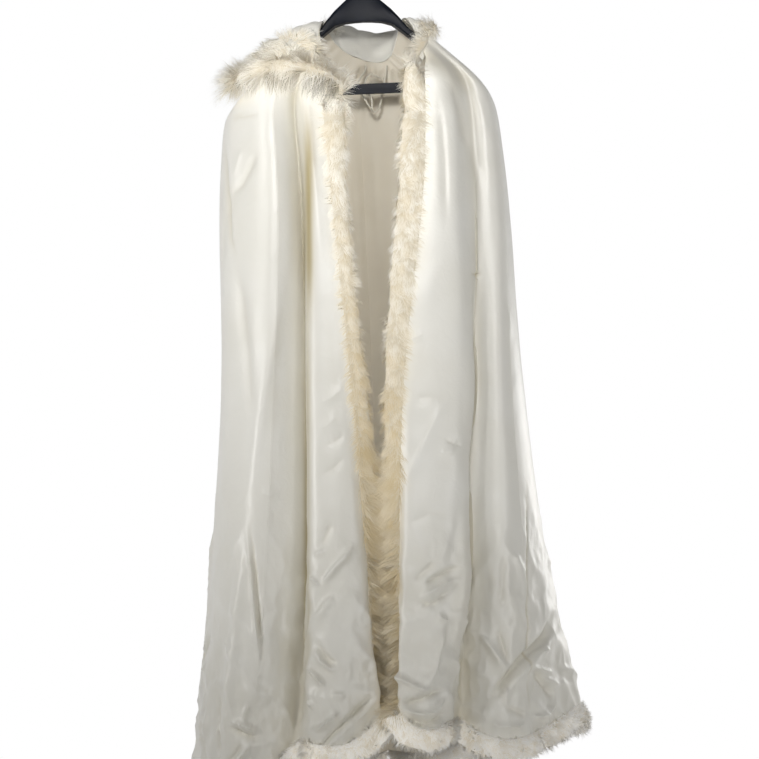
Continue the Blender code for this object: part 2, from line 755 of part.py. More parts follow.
def main():
    for thing in list(bpy.data.objects):
        bpy.data.objects.remove(thing, do_unlink=True)
    satin, lining, fur, cord, plastic, steel = map(make_material, (SATIN, LINING, FUR, CORD, PLASTIC, STEEL))

    outer, columns, folds = cape_surface()
    normals = outward(outer)
    inner = outer - normals * WALL
    right_seam = seam_column(folds, columns, RIGHT_SEAM, True)
    left_seam = seam_column(folds, columns, LEFT_SEAM, False)
    first_back = columns[len(RIGHT_FRONT) - 1]
    centre = columns[len(RIGHT_FRONT) - 1 + BACK_CENTRE]
    last_back = columns[len(RIGHT_FRONT) - 1 + BACK_FLUTES]
    last = outer.shape[1] - 1
    panels = (
        ("front_right", 0, right_seam),
        ("back_right", right_seam, centre),
        ("back_left", centre, left_seam),
        ("front_left", left_seam, last),
    )
    for name, start, end in panels:
        wall_object(name, trimmed(outer, start, end), trimmed(inner, start, end), satin)
    lining_outer = inner - normals * LINING_GAP
    lining_inner = lining_outer - normals * LINING_WALL
    for name, start, end in (("lining_right", first_back, centre), ("lining_left", centre, last_back)):
        wall_object(name, trimmed(lining_outer, start, end), trimmed(lining_inner, start, end), lining)

    hood, hood_stations = hood_surface()
    hood_normals = outward(hood)
    for column, station in enumerate(hood_stations[:-1]):
        hood_normals[-1, column] = square_to(hood_normals[-1, column], station.to_cloth)
    hood_inner = hood - hood_normals * WALL
    middle = HOOD_STEPS // 2
    for name, start, end in (("hood_right", 0, middle), ("hood_left", middle, HOOD_STEPS)):
        wall_object(name, trimmed(hood, start, end), trimmed(hood_inner, start, end), satin)

    border, places = border_stations(outer, normals)
    stations = border + [s._replace(run=-s.run) for s in reversed(hood_stations)]
    rings, along = fur_rings(stations)
    corner_right = places.index((outer.shape[0] - 1, FUR_CORNER))
    corner_left = places.index((outer.shape[0] - 1, last - FUR_CORNER))
    hem_start = places.index((outer.shape[0] - 1, 1)) - 1
    cuts = (
        ("fur_front_right", 0, corner_right),
        ("fur_hem_front_right", corner_right, hem_start + right_seam),
        ("fur_hem_back_right", hem_start + right_seam, hem_start + centre),
        ("fur_hem_back_left", hem_start + centre, hem_start + left_seam),
        ("fur_hem_front_left", hem_start + left_seam, corner_left),
        ("fur_front_left", corner_left, len(border)),
        ("fur_hood", len(border), len(stations)),
    )
    for name, start, end in cuts:
        fur_object(name, rings, along, fur, start, end)

    make_cord("neck_cord_long", LONG_CORD, cord)
    make_cord("neck_cord_short", SHORT_CORD, cord)
    make_knot(cord)
    make_hanger(plastic, steel)


main()
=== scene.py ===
"""Visual model of a hooded bridal cape in ivory satin and faux fur, hanging on a suit hanger.

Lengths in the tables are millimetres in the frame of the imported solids: +X towards the viewer's right,
-Y towards the viewer and +Z up. Right and left in the pieces' names are the wearer's.
"""

import logging
import math
from collections.abc import Iterator
from contextlib import contextmanager
from dataclasses import dataclass
from enum import Enum

import bmesh
import bpy
import numpy as np
from mathutils import Matrix, Vector
from mathutils.bvhtree import BVHTree
from mathutils.kdtree import KDTree


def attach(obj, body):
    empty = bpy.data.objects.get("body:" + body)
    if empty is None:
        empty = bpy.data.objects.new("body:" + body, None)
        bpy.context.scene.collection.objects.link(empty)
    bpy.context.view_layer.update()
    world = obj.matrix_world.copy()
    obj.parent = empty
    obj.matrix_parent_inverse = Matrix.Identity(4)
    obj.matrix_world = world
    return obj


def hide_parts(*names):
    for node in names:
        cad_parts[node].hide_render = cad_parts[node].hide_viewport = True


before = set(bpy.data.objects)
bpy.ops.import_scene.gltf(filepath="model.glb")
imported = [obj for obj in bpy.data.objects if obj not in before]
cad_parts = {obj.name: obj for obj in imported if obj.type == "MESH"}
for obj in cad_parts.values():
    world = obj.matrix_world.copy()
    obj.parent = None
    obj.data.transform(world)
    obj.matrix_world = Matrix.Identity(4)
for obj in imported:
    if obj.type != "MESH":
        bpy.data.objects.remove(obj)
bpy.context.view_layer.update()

MM = 0.001
BODY = "root"
WALL = 2.0  # satin with its interlining
LINING_WALL = 1.0
WALL_EDGE = 2.7  # a shorter edge runs through a wall
MERGE = 0.01  # points closer than this are one
AXIS_Y = 20.0  # depth of the upright line round which the cape hangs
CLOTH_DEGREES = 50.0  # edges sharper than this show as edges
TINY = 1e-6  # keeps a division by a length from failing
LOG = logging.getLogger("cape")

Place = tuple[float, float, float]
Line = tuple[tuple[float, float], ...]


class Facing(Enum):
    """The side of the cape that a crease is drawn on."""

    FRONT = (0.0, -1.0, 0.0)
    BACK = (0.0, 1.0, 0.0)
    WEARER_RIGHT = (-1.0, 0.0, 0.0)
    WEARER_LEFT = (1.0, 0.0, 0.0)


class Comb(Enum):
    """The way in which a band's pile is combed."""

    DOWN = "down"
    AROUND_FACE = "around the face edge"
    OUT = "outwards from the roll"


def linear(hex_colour: str) -> tuple[float, float, float, float]:
    """Turns an sRGB hex colour into linear values.

    Args:
        hex_colour: The colour as #RRGGBB.

    Returns:
        Red, green, blue and alpha, linear.
    """
    channels = [int(hex_colour[place : place + 2], 16) / 255 for place in (1, 3, 5)]
    curve = [c / 12.92 if c <= 0.04045 else ((c + 0.055) / 1.055) ** 2.4 for c in channels]
    return (curve[0], curve[1], curve[2], 1.0)


def add_node(
    tree: bpy.types.NodeTree,
    kind: str,
    values: dict | None = None,
    links: dict | None = None,
    **settings: object,
) -> bpy.types.Node:
    """Adds a node with its settings, socket values and links.

    Args:
        tree: The material's node tree.
        kind: The node's type name.
        values: Values for input sockets, by name or number.
        links: What joins input sockets, by name or number: an output, or a node for its first output.
        **settings: Properties of the node itself.

    Returns:
        The new node.
    """
    node = tree.nodes.new(kind)
    for name, value in settings.items():
        setattr(node, name, value)
    for socket, value in (values or {}).items():
        node.inputs[socket].default_value = value
    for socket, source in (links or {}).items():
        output = source.outputs[0] if isinstance(source, bpy.types.Node) else source
        tree.links.new(output, node.inputs[socket])
    return node


def new_material(name: str) -> tuple[bpy.types.Material, bpy.types.NodeTree]:
    """Makes an empty node material.

    Args:
        name: The material's name.

    Returns:
        The material and its node tree.
    """
    material = bpy.data.materials.new(name)
    material.use_nodes = True
    material.node_tree.nodes.clear()
    return material, material.node_tree


def close_material(tree: bpy.types.NodeTree, values: dict, links: dict | None = None) -> None:
    """Ends a material with its shader and output.

    Args:
        tree: The material's node tree.
        values: The shader's own values.
        links: What joins the shader.
    """
    shader = add_node(tree, "ShaderNodeBsdfPrincipled", values, links)
    add_node(tree, "ShaderNodeOutputMaterial", links={"Surface": shader})


def scaled_place(tree: bpy.types.NodeTree, size: Place) -> bpy.types.Node:
    """Gives the object's own coordinates, divided by a pattern's size.

    Args:
        tree: The material's node tree.
        size: The pattern's size along X, Y and Z, in millimetres.

    Returns:
        The node with the scaled coordinates.
    """
    own = add_node(tree, "ShaderNodeTexCoord").outputs["Object"]
    return add_node(tree, "ShaderNodeMapping", {"Scale": tuple(1 / (s * MM) for s in size)}, {"Vector": own})


@dataclass(frozen=True)
class SatinFinish:
    """Duchesse satin, woven: smooth floats that shine softly, with warm painted shade in the folds, pale on
    the crests.

    A thread is about 0.1 mm, too fine to show, so cross slubs of 1.4 mm by 16 mm stand for the weave.
    """

    name: str = "ivory duchesse satin"
    crest: str = "#F6F5F0"
    # The warm colour of painted shade in folds, troughs and hollows.
    valley_shade: str = "#B4A67C"
    shade: str = "#E8E5DB"
    slub_mm: Place = (16.0, 16.0, 1.4)
    cloud_mm: float = 130.0
    pucker_mm: float = 20.0
    crumple_mm: float = 75.0
    slub_deep_mm: float = 0.3
    pucker_deep_mm: float = 2.6
    crumple_deep_mm: float = 14.0
    slub: float = 0.10
    pucker: float = 0.35
    crumple: float = 0.9
    roughness: float = 0.40
    sheen: float = 0.08
    ior: float = 1.7

    def material(self) -> bpy.types.Material:
        """Makes the material, which reads the painted shade in the cloth's fold attribute, and its rumple
        attribute.

        Returns:
            The material.
        """
        material, tree = new_material(self.name)
        fold, rumple = (
            add_node(tree, "ShaderNodeAttribute", attribute_name=name).outputs["Fac"]
            for name in ("fold", "rumple")
        )
        cloud, slub, pucker, crumple = (
            add_node(
                tree,
                "ShaderNodeTexNoise",
                {"Scale": 1.0, "Detail": detail, "Roughness": rough, "Distortion": distortion},
                {"Vector": scaled_place(tree, size)},
                noise_type=kind,
            )
            for size, detail, rough, distortion, kind in (
                ((self.cloud_mm,) * 3, 2.0, 0.5, 0.0, "FBM"),
                (self.slub_mm, 2.0, 0.6, 0.0, "FBM"),
                ((self.pucker_mm,) * 3, 3.0, 0.45, 0.6, "FBM"),
                ((self.crumple_mm,) * 3, 3.0, 0.55, 0.35, "RIDGED_MULTIFRACTAL"),
            )
        )
        amount = add_node(
            tree, "ShaderNodeMath", {1: self.crumple}, {0: rumple}, operation="MULTIPLY"
        )
        ground = add_node(
            tree,
            "ShaderNodeMix",
            {6: linear(self.crest), 7: linear(self.shade)},
            {0: cloud},
            data_type="RGBA",
        )
        # Painted shade: the fold attribute pulls the colour towards the warm shade colour.
        colour = add_node(
            tree,
            "ShaderNodeMix",
            {7: linear(self.valley_shade)},
            {0: fold, 6: ground.outputs[2]},
            data_type="RGBA",
        )
        relief = add_node(
            tree,
            "ShaderNodeBump",
            {"Strength": self.slub, "Distance": self.slub_deep_mm * MM},
            {"Height": slub},
        )
        relief = add_node(
            tree,
            "ShaderNodeBump",
            {"Strength": self.pucker, "Distance": self.pucker_deep_mm * MM},
            {"Height": pucker, "Normal": relief},
        )
        relief = add_node(
            tree,
            "ShaderNodeBump",
            {"Distance": self.crumple_deep_mm * MM},
            {"Strength": amount, "Height": crumple, "Normal": relief},
        )
        gloss = add_node(
            tree,
            "ShaderNodeMapRange",
            {"To Min": self.roughness - 0.05, "To Max": self.roughness + 0.06},
            {"Value": slub},
        )
        close_material(
            tree,
            {"Sheen Weight": self.sheen, "Sheen Roughness": 0.4, "IOR": self.ior},
            {"Base Color": colour.outputs[2], "Roughness": gloss, "Normal": relief},
        )
        return material


@dataclass(frozen=True)
class GrainedFinish:
    """A ground colour that drifts to a second one, under a fine grain in relief.

    Args:
        name: What the real material is.
        ground: Its main colour.
        drift: The colour that it drifts to.
        drift_mm: The size of the drift.
        grain_mm: The grain's size along X, Y and Z.
        grain_detail: How rough the grain is.
        relief: How strongly the grain shows.
        relief_mm: How deep it is.
        roughness: The surface's roughness.
        own: Further values of the shader.
        drift_rough: How broken the drift is.
        grain_rough: How broken the grain is.
    """

    name: str
    ground: str
    drift: str
    drift_mm: float
    grain_mm: Place
    grain_detail: float
    relief: float
    relief_mm: float
    roughness: float
    own: tuple[tuple[str, float], ...]
    drift_rough: float = 0.5
    grain_rough: float = 0.5

    def material(self) -> bpy.types.Material:
        """Makes the material.

        Returns:
            The material.
        """
        material, tree = new_material(self.name)
        drift, grain = (
            add_node(
                tree,
                "ShaderNodeTexNoise",
                {"Scale": 1.0, "Detail": detail, "Roughness": rough},
                {"Vector": scaled_place(tree, size)},
            )
            for size, detail, rough in (
                ((self.drift_mm,) * 3, 3.0, self.drift_rough),
                (self.grain_mm, self.grain_detail, self.grain_rough),
            )
        )
        colour = add_node(
            tree,
            "ShaderNodeMix",
            {6: linear(self.ground), 7: linear(self.drift)},
            {0: drift},
            data_type="RGBA",
        )
        relief = add_node(
            tree,
            "ShaderNodeBump",
            {"Strength": self.relief, "Distance": self.relief_mm * MM},
            {"Height": grain},
        )
        close_material(
            tree,
            {"Roughness": self.roughness, **dict(self.own)},
            {"Base Color": colour.outputs[2], "Normal": relief},
        )
        return material


# Lining satin, woven and thin: nearly matt, warmer than the outside. Its thread is drawn ten times coarser.
LINING_FINISH = GrainedFinish(
    name="cream lining satin",
    ground="#EDE7DA",
    drift="#DCD3C1",
    drift_mm=90.0,
    grain_mm=(10.0, 10.0, 1.2),
    grain_detail=2.0,
    grain_rough=0.6,
    relief=0.2,
    relief_mm=0.3,
    roughness=0.5,
    own=(("Sheen Weight", 0.1), ("IOR", 1.45)),
)
# Polystyrene, injection moulded: near black with a blue cast, a faint satin skin, lighter where it is rubbed.
PLASTIC_FINISH = GrainedFinish(
    name="black moulded polystyrene",
    ground="#080C16",
    drift="#111725",
    drift_mm=30.0,
    drift_rough=0.6,
    grain_mm=(0.9, 0.9, 0.9),
    grain_detail=1.0,
    relief=0.12,
    relief_mm=0.1,
    roughness=0.5,
    own=(("IOR", 1.59), ("Specular IOR Level", 0.2)),
)


@dataclass(frozen=True)
class FurFinish:
    """Faux fur, modacrylic pile: pale tips over roots and a ground in painted shade, soft and unglossy."""

    name: str = "ivory faux fur"
    # The roots are darker with painted shade, since the strands cast no shadows.
    root: str = "#CFC6B2"
    middle: str = "#E9E5DB"
    tip: str = "#FAF9F5"
    # A warm beige, for random patches and for painted shade lower down on the front bands.
    warm: str = "#CFBC8E"
    warm_patch: float = 0.16
    drift_mm: float = 55.0
    roughness: float = 0.62

    def material(self) -> bpy.types.Material:
        """Makes the material, which reads the pile's tip attribute, for painted shade towards the roots, and
        its tone attribute, for random warmth and painted shade lower down.

        Returns:
            The material.
        """
        material, tree = new_material(self.name)
        tip, tone = (
            add_node(tree, "ShaderNodeAttribute", attribute_name=name).outputs["Fac"]
            for name in ("tip", "tone")
        )
        drift = add_node(
            tree,
            "ShaderNodeTexNoise",
            {"Scale": 1.0, "Detail": 3.0, "Roughness": 0.6},
            {"Vector": scaled_place(tree, (self.drift_mm,) * 3)},
        )
        low, high, patch = (
            add_node(tree, "ShaderNodeMapRange", limits, {"Value": source})
            for limits, source in (
                ({"From Max": 0.45}, tip),
                ({"From Min": 0.35}, tip),
                ({"From Min": 0.52, "From Max": 0.8, "To Max": self.warm_patch}, drift),
            )
        )
        share = add_node(
            tree, "ShaderNodeMath", links={0: patch, 1: tone}, operation="ADD", use_clamp=True
        )
        colour = None
        for amount, shades in (
            (low, {6: linear(self.root), 7: linear(self.middle)}),
            (high, {7: linear(self.tip)}),
            (share, {7: linear(self.warm)}),
        ):
            under = {6: colour.outputs[2]} if colour else {}
            colour = add_node(tree, "ShaderNodeMix", shades, {0: amount, **under}, data_type="RGBA")
        close_material(
            tree,
            {"Roughness": self.roughness, "Sheen Weight": 0.2, "IOR": 1.45},
            {"Base Color": colour.outputs[2]},
        )
        return material


@dataclass(frozen=True)
class CordFinish:
    """Rayon rattail cord, braided round: a soft shine and a fine slanting rib, whose light and shade are
    painted into its colour and raised in relief.

    The ribs of 1.3 mm are too fine to show, so they are drawn coarser.
    """

    name: str = "ivory satin cord"
    light: str = "#F0EDE4"
    shade: str = "#D3CBB9"
    rib_mm: float = 1.3
    coarser: float = 4
    roughness: float = 0.42

    def material(self) -> bpy.types.Material:
        """Makes the material, ribbed across the cord.

        Returns:
            The material.
        """
        material, tree = new_material(self.name)
        rib = add_node(
            tree,
            "ShaderNodeTexWave",
            {"Scale": 1.0, "Distortion": 0.4, "Detail": 1.0},
            {"Vector": scaled_place(tree, (self.rib_mm * self.coarser,) * 3)},
            bands_direction="DIAGONAL",
        ).outputs["Fac"]
        # Painted light and shade along the ribs.
        colour = add_node(
            tree,
            "ShaderNodeMix",
            {6: linear(self.shade), 7: linear(self.light)},
            {0: rib},
            data_type="RGBA",
        )
        relief = add_node(
            tree, "ShaderNodeBump", {"Strength": 0.35, "Distance": 0.3 * MM}, {"Height": rib}
        )
        close_material(
            tree,
            {"Roughness": self.roughness, "Sheen Weight": 0.1, "IOR": 1.5},
            {"Base Color": colour.outputs[2], "Normal": relief},
        )
        return material


@dataclass(frozen=True)
class SteelFinish:
    """Bright steel wire, drawn and plated: mirror-like with fine lengthwise marks."""

    name: str = "plated steel wire"
    ground: str = "#C9CCD0"
    drawn_mm: Place = (0.6, 0.6, 9.0)
    roughness: float = 0.22

    def material(self) -> bpy.types.Material:
        """Makes the material, with roughness broken by the drawing marks.

        Returns:
            The material.
        """
        material, tree = new_material(self.name)
        marks = add_node(
            tree,
            "ShaderNodeTexNoise",
            {"Scale": 1.0, "Detail": 2.0},
            {"Vector": scaled_place(tree, self.drawn_mm)},
        )
        gloss = add_node(
            tree,
            "ShaderNodeMapRange",
            {"To Min": self.roughness - 0.06, "To Max": self.roughness + 0.1},
            {"Value": marks},
        )
        close_material(tree, {"Base Color": linear(self.ground), "Metallic": 1.0}, {"Roughness": gloss})
        return material


@dataclass(frozen=True)
class Finishes:
    """The materials that the pieces share."""

    satin: bpy.types.Material
    lining: bpy.types.Material
    fur: bpy.types.Material
    hem: bpy.types.Material
    cord: bpy.types.Material
    plastic: bpy.types.Material
    steel: bpy.types.Material

    @classmethod
    def make(cls) -> "Finishes":
        """Makes one material of each finish.

        Returns:
            The materials.
        """
        return cls(
            SatinFinish().material(),
            LINING_FINISH.material(),
            FurFinish().material(),
            FurFinish("white faux fur", "#EFE9DC", "#FBF9F4", "#FFFFFF").material(),
            CordFinish().material(),
            PLASTIC_FINISH.material(),
            SteelFinish().material(),
        )


def only(piece: bpy.types.Object) -> None:
    """Selects one piece alone and makes it active.

    Args:
        piece: The piece.
    """
    bpy.ops.object.select_all(action="DESELECT")
    piece.select_set(True)
    bpy.context.view_layer.objects.active = piece


def linked(name: str, data: bpy.types.ID) -> bpy.types.Object:
    """Puts a mesh, curve, light or camera into the scene.

    Args:
        name: The new object's name.
        data: What it shows.

    Returns:
        The new object, at the origin.
    """
    piece = bpy.data.objects.new(name, data)
    bpy.context.scene.collection.objects.link(piece)
    return piece


def copy_of(node: str, name: str) -> bpy.types.Object:
    """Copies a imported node's solid, with its loose triangles merged and paired into quads.

    Args:
        node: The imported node's name.
        name: The new piece's name.

    Returns:
        The new piece.
    """
    piece = linked(name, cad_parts[node].data.copy())
    piece.data.materials.clear()
    only(piece)
    bpy.ops.object.mode_set(mode="EDIT")
    bpy.ops.mesh.select_all(action="SELECT")
    bpy.ops.mesh.customdata_custom_splitnormals_clear()
    bpy.ops.mesh.remove_doubles(threshold=MERGE * MM)
    bpy.ops.mesh.tris_convert_to_quads(
        face_threshold=math.radians(70), shape_threshold=math.radians(70), topology_influence=1.5
    )
    bpy.ops.object.mode_set(mode="OBJECT")
    return piece


def apply(piece: bpy.types.Object, kind: str, **settings: object) -> None:
    """Adds a modifier to a piece and applies it.

    Args:
        piece: The piece that it shapes.
        kind: The modifier's type.
        **settings: The modifier's properties.
    """
    only(piece)
    modifier = piece.modifiers.new(kind.lower(), kind)
    for name, value in settings.items():
        setattr(modifier, name, value)
    bpy.ops.object.modifier_apply(modifier=modifier.name)


def subdivide(piece: bpy.types.Object, levels: int) -> None:
    """Rounds a piece by subdivision, with its open corners kept.

    Args:
        piece: The piece to round.
        levels: How many times each face is divided.
    """
    apply(piece, "SUBSURF", levels=levels, render_levels=levels, boundary_smooth="PRESERVE_CORNERS")


@contextmanager
def reworked(piece: bpy.types.Object) -> Iterator[bmesh.types.BMesh]:
    """Opens a piece's mesh for rework in a with block, and puts it back.

    Args:
        piece: The piece to rework.

    Yields:
        Its open mesh.
    """
    work = bmesh.new()
    work.from_mesh(piece.data)
    yield work
    work.to_mesh(piece.data)
    work.free()
    piece.data.update()


def read(mesh: bpy.types.Mesh, kind: str = "co") -> np.ndarray:
    """Reads the points of a mesh, or their normals.

    Args:
        mesh: The mesh to read.
        kind: "co" for places in millimetres or "normal" for directions.

    Returns:
        An array with a row for each point.
    """
    values = np.empty(len(mesh.vertices) * 3)
    if kind == "co":
        mesh.vertices.foreach_get("co", values)
        values /= MM
    else:
        mesh.vertex_normals.foreach_get("vector", values)
    return values.reshape(-1, 3)


def write(mesh: bpy.types.Mesh, places: np.ndarray) -> None:
    """Moves the points of a mesh.

    Args:
        mesh: The mesh to change.
        places: The new places, in millimetres.
    """
    mesh.vertices.foreach_set("co", (places * MM).ravel())
    mesh.update()


def paint(mesh: bpy.types.Mesh, name: str, values: np.ndarray) -> None:
    """Stores a number on each point of a mesh.

    Args:
        mesh: The mesh to mark.
        name: The attribute's name.
        values: One number for each point.
    """
    layer = mesh.attributes.get(name) or mesh.attributes.new(name, "FLOAT", "POINT")
    layer.data.foreach_set("value", values.astype(np.float32))


def painted(mesh: bpy.types.Mesh, name: str) -> np.ndarray:
    """Reads the number that each point of a mesh carries.

    Args:
        mesh: The marked mesh.
        name: The attribute's name.

    Returns:
        One number for each point.
    """
    values = np.zeros(len(mesh.vertices), np.float32)
    mesh.attributes[name].data.foreach_get("value", values)
    return values.astype(float)


def unit(arrows: np.ndarray, guard: float = 0.0) -> np.ndarray:
    """Brings each arrow to a length of one.

    Args:
        arrows: A row for each arrow.
        guard: What is added to each length, where one may be nothing.

    Returns:
        The directions.
    """
    return arrows / (np.linalg.norm(arrows, axis=1)[:, None] + guard)


def dots(first: np.ndarray, second: np.ndarray) -> np.ndarray:
    """Returns the dot product of each pair of rows."""
    return np.einsum("ij,ij->i", first, second)


def tree_of(points: np.ndarray) -> KDTree:
    """Sorts points into a tree.

    Args:
        points: A row for each point.

    Returns:
        The tree, with each point under its own number.
    """
    tree = KDTree(len(points))
    for number, point in enumerate(points):
        tree.insert(point, number)
    tree.balance()
    return tree


def swell(places: np.ndarray, wave: float, seed: int) -> np.ndarray:
    """Gives a soft uneven field from a few crossing waves.

    Args:
        places: Points, in millimetres.
        wave: The typical distance between swells, in millimetres.
        seed: Chooses the field.

    Returns:
        Values between about -1 and 1, one for each point.
    """
    chance = np.random.default_rng(seed)
    total = np.zeros(len(places))
    for _ in range(7):
        run = chance.normal(size=3)
        run *= 2 * math.pi / (wave * chance.uniform(0.7, 1.7)) / np.linalg.norm(run)
        total += np.sin(places @ run + chance.uniform(0, 2 * math.pi))
    return total / 3.0


def crinkle(places: np.ndarray, wave: float, seed: int) -> np.ndarray:
    """Gives narrow crests with soft beds between them, as in crumpled cloth.

    Args:
        places: Points, in millimetres.
        wave: The typical distance between crests, in millimetres.
        seed: Chooses the field.

    Returns:
        Values between -1 and 1, one for each point.
    """
    return 1 - 2 * np.sqrt(np.tanh(1.3 * swell(places, wave, seed)) ** 2 + 0.006)


def smooth_step(values: np.ndarray, low: float, high: float) -> np.ndarray:
    """Rises softly from 0 at low to 1 at high.

    Args:
        values: The values to map.
        low: Where the rise starts.
        high: Where the rise ends.

    Returns:
        Numbers from 0 to 1.
    """
    share = np.clip((values - low) / (high - low), 0, 1)
    return share * share * (3 - 2 * share)


def place(piece: bpy.types.Object, node: str, slot: str) -> None:
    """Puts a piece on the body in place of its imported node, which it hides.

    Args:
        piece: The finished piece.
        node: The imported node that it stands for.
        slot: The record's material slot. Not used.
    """
    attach(piece, BODY)
    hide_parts(node)
    piece.data.name = piece.name
    LOG.info("%s: %d faces for %s", piece.name, len(piece.data.polygons), node)


def dress(piece: bpy.types.Object, finish: bpy.types.Material, degrees: float = CLOTH_DEGREES) -> None:
    """Smooths a piece's faces and gives it its material.

    Args:
        piece: The piece, at its final shape.
        finish: Its material.
        degrees: Edges sharper than this stay edges.
    """
    only(piece)
    bpy.ops.object.shade_smooth_by_angle(angle=math.radians(degrees))
    piece.data.materials.append(finish)


@dataclass(frozen=True)
class Crease:
    """One soft ridge or trough in the cloth, as a line seen from its side of the cape.

    Args:
        line: Its points as (across, up): x and z on the front and back, y and z on the sides.
        height: How far it rises, or sinks where it is below 0.
        left: How wide it spreads to the left of its run.
        right: How wide it spreads to the right.
        tint: How much painted shade, in the valleys' warm colour, it takes.
        side: The side of the cape that it is drawn on.
    """

    line: Line
    height: float
    left: float
    right: float
    tint: float = 0.0
    side: Facing = Facing.FRONT

    def on(self, places: np.ndarray, normals: np.ndarray) -> tuple[np.ndarray, np.ndarray]:
        """Gives the crease's height and painted shade at each point of a sheet.

        Args:
            places: The sheet's points, in millimetres.
            normals: The sheet's directions at them.

        Returns:
            The height in millimetres and the painted shade, for each point.
        """
        across = 0 if self.side in (Facing.FRONT, Facing.BACK) else 1
        flat = places[:, (across, 2)]
        line = np.array(self.line, float)
        runs = np.diff(line, axis=0)
        lengths = np.hypot(runs[:, 0], runs[:, 1])
        starts = np.concatenate(([0.0], np.cumsum(lengths)))
        reach = 3 * max(self.left, self.right)
        low, high = line.min(axis=0) - reach, line.max(axis=0) + reach
        near = np.all((flat > low) & (flat < high), axis=1)
        facing = np.clip(normals @ np.array(self.side.value) * 3.0, 0, 1)
        chosen = np.flatnonzero(near & (facing > 0))
        height, tint = np.zeros(len(places)), np.zeros(len(places))
        if not len(chosen):
            return height, tint
        best = np.full(len(chosen), np.inf)
        side = np.zeros(len(chosen))
        along = np.zeros(len(chosen))
        for start, run, length, before in zip(line, runs, lengths, starts):
            offset = flat[chosen] - start
            share = np.clip(offset @ run / length**2, 0, 1)
            gap = offset - share[:, None] * run
            distance = np.hypot(gap[:, 0], gap[:, 1])
            closer = distance < best
            turn = run[0] * offset[:, 1] - run[1] * offset[:, 0]
            best = np.where(closer, distance, best)
            side = np.where(closer, turn, side)
            along = np.where(closer, before + share * length, along)
        spread = np.where(side > 0, self.left, self.right)
        done = along / starts[-1]
        taper = smooth_step(done, -0.04, 0.3) * (1 - smooth_step(done, 0.7, 1.04))
        shape = np.exp(-((best / spread) ** 2)) * taper * facing[chosen]
        height[chosen] = self.height * shape
        # The painted shade follows the crease's shape.
        tint[chosen] = self.tint * shape
        return height, tint


def drawn(side: Facing, *rows: tuple) -> tuple[Crease, ...]:
    """Draws creases on one side of the cape.

    Args:
        side: The side that they are on.
        *rows: For each its line, height, left and right spread, and painted shade (its tint) where it has
               one.

    Returns:
        The creases.
    """
    return tuple(Crease(*row, side=side) for row in rows)


